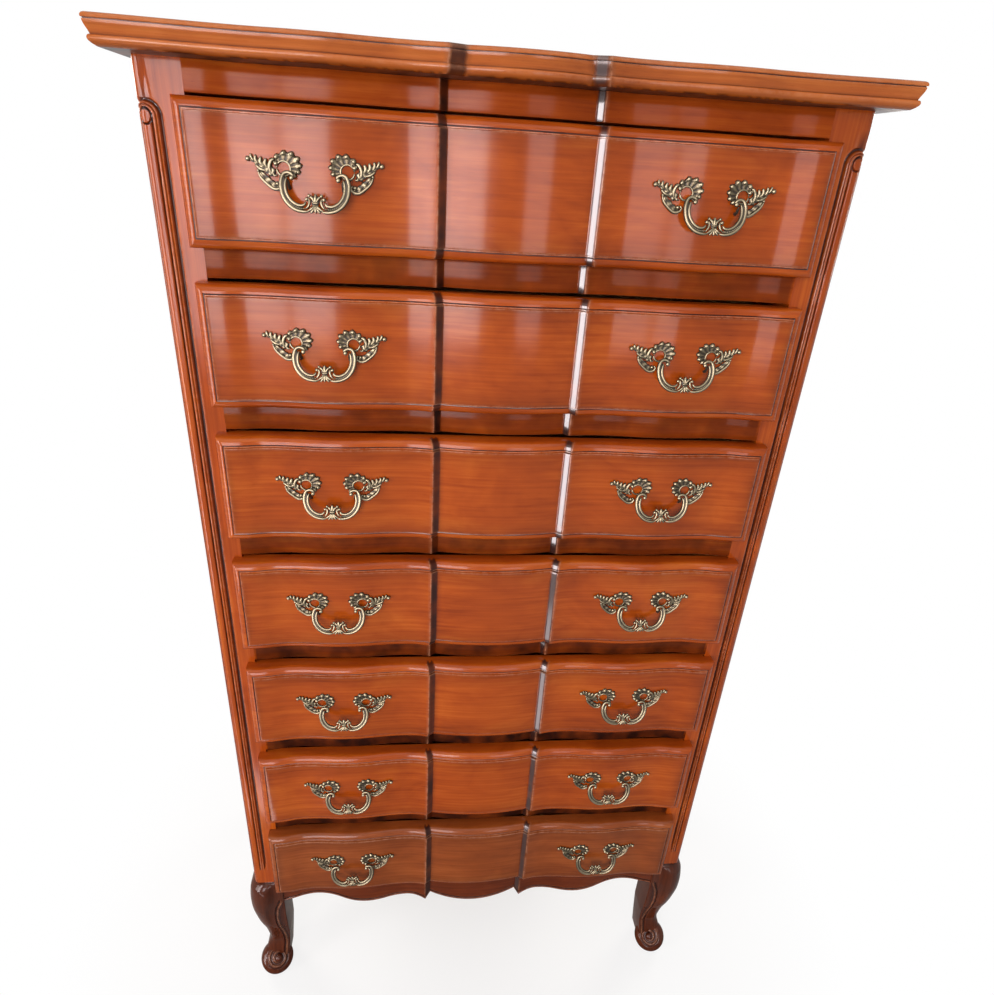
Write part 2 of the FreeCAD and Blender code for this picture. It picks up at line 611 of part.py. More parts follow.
def make_front():
    """One drawer front: serpentine in plan and moulded on all four edges with mitred corners."""
    slope_end = "(bead_width + quirk_slope)"
    field = serpentine("0", f"({LIP} - {slope_end})")
    side_end = [(f"{LIP} - bead_width", f"{FRONT} + quirk_depth"), (LIP, f"{FRONT} + bead_depth"),
                (LIP, f"{FRONT} + lip_thickness")]
    rebate = f"({OPENING} - front_clearance)"
    back = [(rebate, f"{FRONT} + lip_thickness"), (rebate, FRONT_BACK)]
    right = [(f"{LIP} - {slope_end}", FRONT)] + side_end + back
    left = [(f"-({x})", y) for x, y in reversed(right[1:])]
    plan = pad("FrontPlan", "XY_Plane", "0", FRONT_HEIGHT, [field + right + left])
    proud = "1.5"
    wide = f"({LIP} + 6)"
    edges = [("-1", "bead_depth + 0.6"), ("bead_width", "quirk_depth"), (slope_end, f"-{proud}")]
    levels = [(down, fall) for down, fall in edges]
    levels += [(f"{FRONT_HEIGHT} - ({down})", fall) for down, fall in reversed(edges)]
    sections = []
    for index, (rise, fall) in enumerate(levels):
        sections.append(level(f"FrontLevel{index}", rise, board(f"-({fall})", wide, f"{FRONT_BACK} + 5")))
    return combine("Part::MultiCommon", "Front", [plan, loft("FrontSweep", sections)])


def make_drawer_box():
    """The drawer's two sides and back, and its bottom board."""
    foot = "(running_gap - bottom_clearance)"
    tall = f"({FRONT_HEIGHT} - side_drop - {foot})"
    length = f"({BOX_END} - {FRONT_BACK})"
    inside = f"({BOX_HALF} - side_thickness)"
    side = box("DrawerSide", (inside, FRONT_BACK, foot), ("side_thickness", length, tall))
    floor = f"({foot} + bottom_rise)"
    above = f"({floor} + bottom_thickness)"
    rear = box("DrawerBack", (f"-{inside}", f"{BOX_END} - side_thickness", above),
               (f"2 * {inside}", "side_thickness", f"{tall} + {foot} - {above}"))
    frame = combine("Part::Compound", "DrawerBox", [side, mirror("DrawerSideLeft", side), rear])
    bottom = box("DrawerBottom", (f"-({inside} - bottom_play)", FRONT_BACK, floor),
                 (f"2 * ({inside} - bottom_play)", length, "bottom_thickness"))
    return frame, bottom


def make_rosette():
    """One rosette of a pull: a shell above a leaf, turned to lie on the front, and its post head."""
    shell = [("21", "-6"), ("38", "-11"), ("45", "-9"), ("46", "-2"), ("58", "3"), ("68", "15"),
             ("61", "17.5"), ("51", "15"), ("42", "22"), ("31", "25.5"), ("20", "23.5"),
             ("12.5", "15"), ("12.5", "3")]
    blank = pad("Plate", "XZ_Plane", "0", "plate_thickness", [shell])
    plate = copy("TurnedPlate", blank, (CROWN, f"{FRONT} + crown_depth - plate_lift", PIVOT_Z),
                 PLATE_TURN, (0, 0, 1))
    slant = "head_radius * cos(45)"
    ahead = f"(plate_lift + plate_thickness / 2 - {HEAD_AT} * tan({PLATE_TURN}))"
    base = f"({FRONT} + crown_depth - {ahead})"
    spread = f"({slant} + (head_radius - {slant}) * {ahead} / pivot_standoff)"
    stud = [(base, f"{PIVOT_Z} + {spread}"),
            (PIVOT_Y, f"{PIVOT_Z} + head_radius"), (f"{PIVOT_Y} - {slant}", f"{PIVOT_Z} + {slant}"),
            (f"{PIVOT_Y} - head_radius", PIVOT_Z), (f"{PIVOT_Y} - {slant}", f"{PIVOT_Z} - {slant}"),
            (PIVOT_Y, f"{PIVOT_Z} - head_radius"),
            (base, f"{PIVOT_Z} - {spread}")]
    bore = []
    for side in range(BORE_SIDES):
        angle = f"{side} * 360 / {BORE_SIDES}"
        bore.append((f"{PIVOT_Y} + bore_radius * cos({angle})", f"{PIVOT_Z} + bore_radius * sin({angle})"))
    head = pad("Head", "YZ_Plane", f"{CROWN} + {HEAD_AT} - head_length / 2", "head_length", [stud, bore])
    return combine("Part::Compound", "Rosette", [plate, cut("SeatedHead", head, plate)])


def make_bail():
    """A bail about its pivot line: two arms, two bends, a palmette between them and its tangs."""
    quarter = [f"{index} * 90 / {BEND_SIDES}" for index in range(BEND_SIDES + 1)]
    bend_x = "(bail_half_width - bail_bend)"

    def bend(radius, angle):
        return (f"{bend_x} + {radius} * cos({angle})", f"-bail_shoulder - {radius} * sin({angle})")
    outer = [bend("bail_bend", angle) for angle in quarter]
    inner = [bend("(bail_bend - bail_bar)", angle) for angle in quarter]
    crest = [("crest_half_width", "-crest_top - 8.5"), ("crest_half_width * 0.6", "-crest_top - 3"),
             ("0", "-crest_top")]
    right = [("crest_half_width * 0.3", "-crest_bottom")] + outer[::-1]
    right += [("bail_half_width", "bail_top"), ("bail_half_width - bail_bar", "bail_top")] + inner + crest
    left = [(f"-({x})", z) for x, z in reversed(right[:-1])]
    loop = pad("BailLoop", "XZ_Plane", "-bail_thickness / 2", "bail_thickness", [right + left])
    tangs = []
    tang_end = f"({HEAD_AT} - head_length / 2 + tang_short)"
    for name, start in (("Right", tang_end), ("Left", "-(bail_half_width - bail_bar / 2)")):
        tangs.append(box(f"Tang{name}", (start, f"-{TANG_WIDTH} / 2", f"-{TANG_WIDTH} / 2"),
                         (f"bail_half_width - bail_bar / 2 - {tang_end}", TANG_WIDTH, TANG_WIDTH)))
    return combine("Part::MultiFuse", "Bail", [loop] + tangs)


def make_drawers():
    """Seven equal drawers, each with a front, a box, a bottom, and two pulls whose bails swing."""
    front = make_front()
    frame, bottom = make_drawer_box()
    outer = make_rosette()
    right = combine("Part::Compound", "PullRight",
                    [outer, copy("InnerRosetteHost", mirror("InnerRosette", outer),
                                 (f"2 * {CROWN}", "0", "0"))])
    fittings = combine("Part::Compound", "Pulls", [right, mirror("PullLeft", right)])
    bail = make_bail()
    count = int(value("drawer_count"))
    for number in range(1, count + 1):
        rise = f"drawer_base + {count - number} * {PITCH}"
        for kind, source in (("front", front), ("box", frame), ("bottom", bottom), ("pulls", fittings)):
            keep(f"drawer_{number}_{kind}", copy(f"Drawer{number}{kind}", source, ("0", "0", rise)))
        for side, sign in (("left", "-"), ("right", "")):
            place = (f"{sign}{CROWN}", PIVOT_Y, f"{rise} + {PIVOT_Z}")
            keep(f"drawer_{number}_bail_{side}",
                 copy(f"Drawer{number}Bail{side}", bail, place, "-bail_tilt"))


def check_and_write():
    """Stop at a failed object or a bad shape, then write one STEP file for each sub-part."""
    for thing in document.Objects:
        for state in thing.State:
            if state in ("Invalid", "Error"):
                raise RuntimeError(f"{thing.Name} is {state}")
    os.makedirs("parts", exist_ok=True)
    for node, thing in nodes.items():
        shape = Part.getShape(thing)
        if shape.isNull() or not shape.isValid():
            raise RuntimeError(f"{node} has a bad shape")
        shape.exportStep(f"parts/{node}.step")


make_top()
make_rails()
make_apron()
make_posts()
make_front_leg()
make_rear_leg()
make_panels()
make_runners()
make_drawers()
document.recompute()
check_and_write()
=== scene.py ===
"""A semainier in lacquered cherry: seven serpentine drawers between reeded posts on cabriole legs.

The shapes are worked out in millimetres with numpy and put into meshes in metres. +X is the chest's
right as seen from the front, -Y points at the person who opens the drawers and +Z is up.
"""
import logging
import math
from dataclasses import dataclass, field
from enum import Enum
from typing import Sequence

import bmesh
import bpy
import numpy as np
from mathutils import Matrix, Vector


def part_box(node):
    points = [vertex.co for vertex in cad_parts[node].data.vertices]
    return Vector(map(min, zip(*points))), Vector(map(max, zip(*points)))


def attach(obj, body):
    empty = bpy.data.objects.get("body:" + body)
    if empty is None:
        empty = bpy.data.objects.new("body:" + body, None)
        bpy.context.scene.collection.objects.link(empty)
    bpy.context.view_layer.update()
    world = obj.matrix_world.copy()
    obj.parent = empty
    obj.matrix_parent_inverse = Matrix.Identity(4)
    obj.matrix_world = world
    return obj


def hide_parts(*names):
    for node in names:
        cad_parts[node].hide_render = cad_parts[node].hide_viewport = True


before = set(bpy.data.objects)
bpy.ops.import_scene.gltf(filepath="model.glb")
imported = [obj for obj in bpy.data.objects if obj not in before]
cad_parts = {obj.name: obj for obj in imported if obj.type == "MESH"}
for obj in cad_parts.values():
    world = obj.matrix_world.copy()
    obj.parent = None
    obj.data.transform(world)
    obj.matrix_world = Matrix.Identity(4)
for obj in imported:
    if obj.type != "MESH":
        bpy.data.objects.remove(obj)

log = logging.getLogger("semainier")
MM = 0.001                                        # one millimetre in the scene's metres
CREASE = math.radians(34)                         # edges sharper than this stay crisp
WELD = 0.01 * MM                                  # points closer than this become one
SLIVER = 0.004 * MM                               # edges shorter than this are taken out
DRAWERS = range(1, 8)                             # numbers of the drawers, from the top


class Side(Enum):
    """The two sides of the chest."""

    LEFT = -1
    RIGHT = 1


class Grain(Enum):
    """Which way the grain of a board runs, as the turn of its pattern in radians."""

    ACROSS = (0.0, 0.0, 0.0)
    UPRIGHT = (0.0, math.pi / 2, 0.0)
    DEEP = (0.0, 0.0, math.pi / 2)


# ---------------------------------------------------------------- meshes


@dataclass
class Patch:
    """A grid of surface points in millimetres, with two marks for its finish at each point.

    wear says how far the finish is rubbed or raised there; the other mark says how much dark colour lies
    there, which is painted shade in hollows, on the steps, on the rails and under the top, with some glazing.
    """

    points: np.ndarray
    wear: np.ndarray | float = 0.0
    grime: np.ndarray | float = 0.0


def quads(rows: int, columns: int, first: int) -> np.ndarray:
    """Return the corner indices of every cell of a grid of points, numbered row by row from first."""
    here = first + np.arange(rows * columns).reshape(rows, columns)
    return np.stack([here[:-1, :-1], here[:-1, 1:], here[1:, 1:], here[1:, :-1]], axis=-1).reshape(-1, 4)


def make_mesh(name: str, patches: Sequence[Patch], crease: float = CREASE) -> bpy.types.Object:
    """Weld patches into one closed mesh with outward faces and their marks as attributes.

    Args:
        name: the piece's name.
        patches: grids whose shared borders have equal points.
        crease: angle in radians above which an edge is shaded crisp.

    Returns:
        The new object, at the origin.
    """
    points, cells, marks, first = [], [], [], 0
    for patch in patches:
        rows, columns = patch.points.shape[:2]
        points.append(patch.points.reshape(-1, 3) * MM)
        cells.append(quads(rows, columns, first))
        marks.append(np.stack([np.broadcast_to(mark, (rows, columns)).ravel()
                               for mark in (patch.wear, patch.grime)]))
        first += rows * columns
    mesh = bpy.data.meshes.new(name)
    mesh.from_pydata(np.concatenate(points).tolist(), [], np.concatenate(cells).tolist())
    for label, values in zip(("wear", "grime"), np.concatenate(marks, axis=1)):
        layer = mesh.attributes.new(label, "FLOAT", "POINT")
        layer.data.foreach_set("value", values.astype(np.float32))
    work = bmesh.new()
    work.from_mesh(mesh)
    bmesh.ops.remove_doubles(work, verts=work.verts, dist=WELD)
    bmesh.ops.dissolve_degenerate(work, edges=work.edges, dist=SLIVER)
    bmesh.ops.recalc_face_normals(work, faces=work.faces)
    work.to_mesh(mesh)
    work.free()
    mesh.polygons.foreach_set("use_smooth", np.ones(len(mesh.polygons), bool))
    mesh.set_sharp_from_angle(angle=crease)
    thing = bpy.data.objects.new(name, mesh)
    bpy.context.scene.collection.objects.link(thing)
    return thing


def place(thing: bpy.types.Object, body: str, finish: bpy.types.Material, nodes: Sequence[str]) -> None:
    """Give a piece its finish, let it ride on its body and stand for its CAD nodes.

    Args:
        thing: the finished piece.
        body: name of the body that carries it.
        finish: its only material.
        nodes: names of the CAD nodes that it stands for.
    """
    thing.data.materials.clear()
    thing.data.materials.append(finish)
    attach(thing, body)
    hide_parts(*nodes)
    log.info("%s rides on %s, %d faces", thing.name, body, len(thing.data.polygons))


def mirrored(patches: Sequence[Patch], side: Side) -> list[Patch]:
    """Return patches drawn for the right side, moved to the side asked for."""
    flip = np.array([side.value, 1, 1])
    return [Patch(patch.points * flip, patch.wear, patch.grime) for patch in patches]


def slab(low: Sequence[float], high: Sequence[float]) -> list[Patch]:
    """Return the six faces of a box between two corners.

    Args:
        low: the corner with the smallest coordinates.
        high: the corner with the largest ones.

    Returns:
        One patch for each face.
    """
    (x0, y0, z0), (x1, y1, z1) = low, high

    def face(a: tuple, b: tuple, c: tuple, d: tuple) -> Patch:
        """Return the face whose corners are given in order round it."""
        return Patch(np.array([[a, b], [d, c]], float))
    return [face((x0, y0, z0), (x1, y0, z0), (x1, y0, z1), (x0, y0, z1)),
            face((x0, y1, z0), (x1, y1, z0), (x1, y1, z1), (x0, y1, z1)),
            face((x0, y0, z0), (x0, y1, z0), (x0, y1, z1), (x0, y0, z1)),
            face((x1, y0, z0), (x1, y1, z0), (x1, y1, z1), (x1, y0, z1)),
            face((x0, y0, z0), (x1, y0, z0), (x1, y1, z0), (x0, y1, z0)),
            face((x0, y0, z1), (x1, y0, z1), (x1, y1, z1), (x0, y1, z1))]


def border(points: np.ndarray) -> np.ndarray:
    """Return the closed line round a grid of points."""
    return np.concatenate([points[0], points[1:, -1], points[-1, -2::-1], points[-2::-1, 0]])


def fan(loop: np.ndarray) -> Patch:
    """Return the flat surface between a closed line and a point in its middle."""
    return Patch(np.stack([loop, np.broadcast_to(loop[:-1].mean(axis=0), loop.shape)]))


def boxed(face: Patch, y: float) -> list[Patch]:
    """Close a face with walls from its border straight back to a plane, and a flat back there.

    Args:
        face: the modelled face.
        y: where the back lies, in millimetres.

    Returns:
        The face, the walls and the back.
    """
    line = border(face.points)
    behind = line.copy()
    behind[:, 1] = y
    return [face, Patch(np.stack([line, behind])), fan(behind)]


def lowered(thing: bpy.types.Object, name: str, drop: float) -> bpy.types.Object:
    """Copy a piece some millimetres lower, with its points moved and its own place kept.

    Args:
        thing: the piece to copy.
        name: the copy's name.
        drop: how far down its points move, in millimetres.

    Returns:
        The copy.
    """
    mesh = thing.data.copy()
    mesh.name = name
    points = np.empty(3 * len(mesh.vertices), np.float32)
    mesh.vertices.foreach_get("co", points)
    points[2::3] -= drop * MM
    mesh.vertices.foreach_set("co", points)
    copy = bpy.data.objects.new(name, mesh)
    bpy.context.scene.collection.objects.link(copy)
    return copy


def bump(x: np.ndarray, middle: float, half: float) -> np.ndarray:
    """Return a smooth hill of height 1 about a middle, nothing beyond its half width."""
    return np.clip(1 - ((x - middle) / half) ** 2, 0, 1) ** 2


def ess(t: np.ndarray) -> np.ndarray:
    """Return an S from 0 to 1 made of two equal parabolas, as t goes from 0 to 1."""
    t = np.clip(t, 0, 1)
    return np.where(t < 0.5, 2 * t * t, 1 - 2 * (1 - t) ** 2)


def smooth_line(points: np.ndarray, count: int) -> np.ndarray:
    """Return count points on the Catmull-Rom curve through a few points of any dimension.

    Each span blends its two ends and their tangents by the cubic Hermite weights, a tangent being
    half the chord between the point's two neighbours.

    Args:
        points: the points that the curve goes through, one to a row.
        count: how many points to return.

    Returns:
        Points at equal steps of the curve's parameter, one to a row.
    """
    points = np.asarray(points, float)
    tangents = np.gradient(points, axis=0)
    at = np.linspace(0, len(points) - 1, count)
    span = np.minimum(at.astype(int), len(points) - 2)
    t = (at - span)[:, None]
    ends = (2 * t ** 3 - 3 * t ** 2 + 1) * points[span] + (3 * t ** 2 - 2 * t ** 3) * points[span + 1]
    slopes = (t ** 3 - 2 * t ** 2 + t) * tangents[span] + (t ** 3 - t ** 2) * tangents[span + 1]
    return ends + slopes


# ---------------------------------------------------------------- finishes


class Nodes:
    """A small helper that adds and wires shader nodes in one tree."""

    def __init__(self, tree: bpy.types.NodeTree) -> None:
        """Start on an empty tree."""
        self.tree = tree
        tree.nodes.clear()

    def add(self, kind: str, inputs: dict | None = None, **settings: object) -> bpy.types.Node:
        """Add a node, set its properties, and link or set its inputs.

        Args:
            kind: the node's type name without its ShaderNode prefix.
            inputs: sockets or plain values by input name or index.
            settings: properties of the node.

        Returns:
            The node.
        """
        node = self.tree.nodes.new(kind if kind.startswith("NodeGroup") else "ShaderNode" + kind)
        for key, value in settings.items():
            setattr(node, key, value)
        for key, value in (inputs or {}).items():
            self.put(node.inputs[key], value)
        return node

    def put(self, socket: bpy.types.NodeSocket, value: object) -> None:
        """Link a socket or set it to a plain value.

        Args:
            socket: the input socket.
            value: an output socket to link from, or a plain value.
        """
        if isinstance(value, bpy.types.NodeSocket):
            self.tree.links.new(value, socket)
        else:
            socket.default_value = value

    def math(self, operation: str, *values: object, clamp: bool = False) -> bpy.types.NodeSocket:
        """Return the result of a Math node."""
        return self.add("Math", dict(enumerate(values)), operation=operation, use_clamp=clamp).outputs[0]

    def noise(self, vector: object, scale: float, detail: float, rough: float = 0.5,
              warp: float = 0.0) -> bpy.types.NodeSocket:
        """Return the value of a noise texture."""
        return self.add("TexNoise", {"Vector": vector, "Scale": scale, "Detail": detail,
                                     "Roughness": rough, "Distortion": warp}).outputs["Fac"]

    def ramp(self, value: object, stops: Sequence[tuple[float, tuple]]) -> bpy.types.NodeSocket:
        """Add a colour ramp.

        Args:
            value: the socket or number that the ramp is read at.
            stops: place and linear red, green and blue of each stop.

        Returns:
            The ramp's colour.
        """
        node = self.add("ValToRGB", {0: value})
        stop_list = node.color_ramp.elements
        while len(stop_list) < len(stops):
            stop_list.new(0.5)
        for element, (at, colour) in zip(stop_list, stops):
            element.position = at
            element.color = (*colour, 1)
        return node.outputs["Color"]

    def mix(self, share: object, first: object, second: object) -> bpy.types.NodeSocket:
        """Mix two colours.

        Args:
            share: how much of the second colour is taken, from 0 to 1.
            first: the colour at share 0.
            second: the colour at share 1.

        Returns:
            The mixed colour.
        """
        node = self.add("Mix", data_type="RGBA")
        factor, colour_a, colour_b, result = 0, 6, 7, 2
        for index, value in ((factor, share), (colour_a, first), (colour_b, second)):
            self.put(node.inputs[index], value)
        return node.outputs[result]

    def mark(self, label: str) -> bpy.types.NodeSocket:
        """Return one of the mesh's marks."""
        return self.add("Attribute", attribute_name=label).outputs["Fac"]


def new_group(name: str, inputs: Sequence[tuple[str, str]], outputs: Sequence[tuple[str, str]]
              ) -> tuple[Nodes, bpy.types.Node, bpy.types.Node]:
    """Make a shader node group with typed, named sockets.

    Args:
        name: the group's name.
        inputs: name and kind, such as Float or Color, of each input.
        outputs: the same for each output.

    Returns:
        The helper on its tree, its input node and its output node.
    """
    tree = bpy.data.node_groups.new(name, "ShaderNodeTree")
    for direction, sockets in (("INPUT", inputs), ("OUTPUT", outputs)):
        for label, kind in sockets:
            tree.interface.new_socket(label, in_out=direction, socket_type="NodeSocket" + kind)
    nodes = Nodes(tree)
    return nodes, nodes.add("NodeGroupInput"), nodes.add("NodeGroupOutput")


@dataclass(frozen=True)
class CherryFigure:
    """The group that draws cherry's figure, streaks, pores and mottle along local X."""

    rings: float = 46.0                           # turn of the wave in one metre of height
    waver: float = 30.0                           # turn of the wave by the warping noise
    sharpness: float = 0.45                       # power that narrows the dark lines
    line_level: float = 0.75                      # mean of the lines, taken off before they are added
    streaks: float = 0.55                         # share of the fine streaks in the tone
    mottle: float = 0.55                          # share of the soft mottle
    shift: float = -0.06                          # moves the mean tone to the middle of the ramp
    pore_level: float = 0.62                      # noise above this is an open pore
    pore_slope: float = 2.0
    pore_tone: float = 0.5                        # how much darker a pore is

    def group(self) -> bpy.types.NodeTree:
        """Make the node group.

        Returns:
            The group's tree. Out of it come a tone from 0 to 1, where 1 is the lightest wood, and a
            height for the open pores.
        """
        nodes, into, out = new_group("cherry_figure", [("Vector", "Vector"), ("Figure", "Float")],
                                     [("Tone", "Float"), ("Pores", "Float")])
        vector = into.outputs["Vector"]

        def stretched(x: float, y: float, z: float) -> bpy.types.NodeSocket:
            """Return the place scaled along each axis."""
            return nodes.add("Mapping", {"Vector": vector, "Scale": (x, y, z)}).outputs[0]
        warp = nodes.noise(stretched(2.6, 5, 9), 1.0, 2.0, 0.5, 0.4)
        height = nodes.add("SeparateXYZ", {0: vector}).outputs["Z"]
        rings = nodes.math("ADD", nodes.math("MULTIPLY", height, self.rings),
                           nodes.math("MULTIPLY", warp, self.waver))
        wave = nodes.math("ABSOLUTE", nodes.math("SINE", rings))
        lines = nodes.math("POWER", wave, self.sharpness)
        streaks = nodes.noise(stretched(5, 60, 260), 1.0, 4.0, 0.6)
        mottle = nodes.noise(stretched(9, 12, 16), 1.0, 3.0, 0.6, 0.6)
        pores = nodes.noise(stretched(90, 500, 1500), 1.0, 2.0, 0.7)
        figured = nodes.math("MULTIPLY", nodes.math("SUBTRACT", lines, self.line_level),
                             into.outputs["Figure"])
        tone = nodes.math("ADD", nodes.math("MULTIPLY", streaks, self.streaks),
                          nodes.math("MULTIPLY", mottle, self.mottle))
        tone = nodes.math("ADD", nodes.math("ADD", tone, figured), self.shift)
        ticks = nodes.math("MULTIPLY", nodes.math("SUBTRACT", pores, self.pore_level), self.pore_slope,
                           clamp=True)
        tone = nodes.math("SUBTRACT", tone, nodes.math("MULTIPLY", ticks, self.pore_tone), clamp=True)
        nodes.put(out.inputs["Tone"], tone)
        nodes.put(out.inputs["Pores"], nodes.math("MULTIPLY", ticks, -1.0))
        return nodes.tree


@dataclass(frozen=True)
class EdgeWearShadeGlazing:
    """The group that lightens rubbed edges and darkens quirks, corners, steps and what lies under things:
    painted shade, with some glazing.
    """

    bare_level: float = 0.3                       # noise above this lets a rubbed edge show
    bare_slope: float = 2.4
    patch_lift: float = 0.52                      # added to the noise that breaks up the painted shade

    def group(self) -> bpy.types.NodeTree:
        """Make the node group.

        Returns:
            The group's tree, whose only output is the colour.
        """
        nodes, into, out = new_group(
            "edge_wear_shade_glazing", [("Color", "Color"), ("Rubbed", "Color"), ("Glaze", "Color"),
                           ("Vector", "Vector"), ("Wear", "Float"), ("Grime", "Float")],
            [("Color", "Color")])
        vector = into.outputs["Vector"]
        broken = nodes.noise(vector, 120.0, 3.0, 0.7)
        bare = nodes.math("MULTIPLY", nodes.math("SUBTRACT", broken, self.bare_level), self.bare_slope,
                          clamp=True)
        rubbed = nodes.math("MULTIPLY", into.outputs["Wear"], bare, clamp=True)
        patchy = nodes.math("ADD", nodes.noise(vector, 35.0, 2.0), self.patch_lift)
        # painted shade: the colour darkens towards the dark colour as far as the shade mark reaches
        shade_glazed = nodes.math("MULTIPLY", into.outputs["Grime"], patchy, clamp=True)
        colour = nodes.mix(shade_glazed, into.outputs["Color"], into.outputs["Glaze"])
        nodes.put(out.inputs["Color"], nodes.mix(rubbed, colour, into.outputs["Rubbed"]))
        return nodes.tree


@dataclass(frozen=True)
class Lacquer:
    """Toned, rubbed lacquer over cherry; colours are linear red, green and blue."""

    name: str = "lacquered_cherry"
    grain: Grain = Grain.ACROSS
    figure: float = 0.07
    dark: tuple = (0.16, 0.019, 0.0025)
    middle: tuple = (0.385, 0.067, 0.0060)
    light: tuple = (0.61, 0.155, 0.015)
    rubbed: tuple = (0.56, 0.27, 0.15)
    # the dark colour that the shade mark lays on: painted shade, with some glazing
    glaze: tuple = (0.030, 0.006, 0.003)
    roughness: float = 0.105
    gloss: float = 0.19
    haze: float = 0.08                            # unevenness of the roughness
    caked_level: float = 0.5                      # the shade mark above this makes the finish dull as well as dark
    caked: float = 0.8                            # roughness it adds
    pooled_level: float = 0.88                    # the shade mark above this lies under a clear coat of pooled lacquer
    pooled_slope: float = 9.0
    pool_roughness: float = 0.12
    pore_depth: float = 0.05
    stops: tuple = (0.12, 0.5, 0.9)               # tones of the dark, middle and light wood

    def material(self, groups: dict[str, bpy.types.NodeTree]) -> bpy.types.Material:
        """Build the finish.

        Args:
            groups: the shader groups by name.

        Returns:
            The new material.
        """
        material = bpy.data.materials.new(self.name)
        material.use_nodes = True
        nodes = Nodes(material.node_tree)
        where = nodes.add("TexCoord").outputs["Object"]
        turned = nodes.add("Mapping", {"Vector": where, "Rotation": self.grain.value}).outputs[0]
        figure = nodes.add("Group", node_tree=groups["cherry_figure"])
        nodes.put(figure.inputs["Vector"], turned)
        nodes.put(figure.inputs["Figure"], self.figure)
        wood = nodes.ramp(figure.outputs["Tone"],
                          tuple(zip(self.stops, (self.dark, self.middle, self.light))))
        glaze = nodes.add("Group", node_tree=groups["edge_wear_shade_glazing"])
        for label, value in (("Color", wood), ("Rubbed", (*self.rubbed, 1)), ("Glaze", (*self.glaze, 1)),
                             ("Vector", where), ("Wear", nodes.mark("wear")), ("Grime", nodes.mark("grime"))):
            nodes.put(glaze.inputs[label], value)
        haze = nodes.math("ADD", nodes.math("MULTIPLY", nodes.noise(where, 14.0, 3.0), self.haze),
                          self.roughness - self.haze / 2)
        caked = nodes.math("SUBTRACT", nodes.mark("grime"), self.caked_level, clamp=True)
        dull = nodes.math("ADD", haze, nodes.math("MULTIPLY", caked, self.caked), clamp=True)
        relief = nodes.math("ADD", nodes.math("MULTIPLY", nodes.noise(where, 45.0, 1.0), 0.5),
                            nodes.math("MULTIPLY", figure.outputs["Pores"], self.pore_depth))
        ripple = nodes.add("Bump", {"Strength": 0.03, "Distance": 0.002, "Height": relief})
        pooled = nodes.math("MULTIPLY", nodes.math("SUBTRACT", nodes.mark("grime"), self.pooled_level),
                            self.pooled_slope, clamp=True)
        shader = nodes.add("BsdfPrincipled", {
            "Base Color": glaze.outputs["Color"], "Roughness": dull, "Normal": ripple.outputs[0],
            "Specular IOR Level": self.gloss, "Coat Weight": pooled, "Coat Roughness": self.pool_roughness})
        nodes.add("OutputMaterial", {"Surface": shader.outputs[0]})
        return material


@dataclass(frozen=True)
class PlainWood:
    """Unfinished secondary wood, as used where only an open drawer shows it."""

    name: str = "drawer_lining"
    grain: Grain = Grain.DEEP
    dark: tuple = (0.34, 0.19, 0.075)
    light: tuple = (0.66, 0.44, 0.21)
    roughness: float = 0.62
    figure: float = 0.16
    gloss: float = 0.2
    sheen: float = 0.12                           # how much smoother the lightest wood is
    stops: tuple = (0.1, 0.85)                    # tones of the dark and light wood

    def material(self, groups: dict[str, bpy.types.NodeTree]) -> bpy.types.Material:
        """Build the finish.

        Args:
            groups: the shader groups by name.

        Returns:
            The new material.
        """
        material = bpy.data.materials.new(self.name)
        material.use_nodes = True
        nodes = Nodes(material.node_tree)
        where = nodes.add("TexCoord").outputs["Object"]
        turned = nodes.add("Mapping", {"Vector": where, "Rotation": self.grain.value}).outputs[0]
        figure = nodes.add("Group", node_tree=groups["cherry_figure"])
        nodes.put(figure.inputs["Vector"], turned)
        nodes.put(figure.inputs["Figure"], self.figure)
        wood = nodes.ramp(figure.outputs["Tone"], tuple(zip(self.stops, (self.dark, self.light))))
        grain = nodes.add("Bump", {"Strength": 0.15, "Distance": 0.001, "Height": figure.outputs["Pores"]})
        dull = nodes.math("SUBTRACT", self.roughness,
                          nodes.math("MULTIPLY", figure.outputs["Tone"], self.sheen))
        shader = nodes.add("BsdfPrincipled", {"Base Color": wood, "Roughness": dull,
                                              "Normal": grain.outputs[0], "Specular IOR Level": self.gloss})
        nodes.add("OutputMaterial", {"Surface": shader.outputs[0]})
        return material


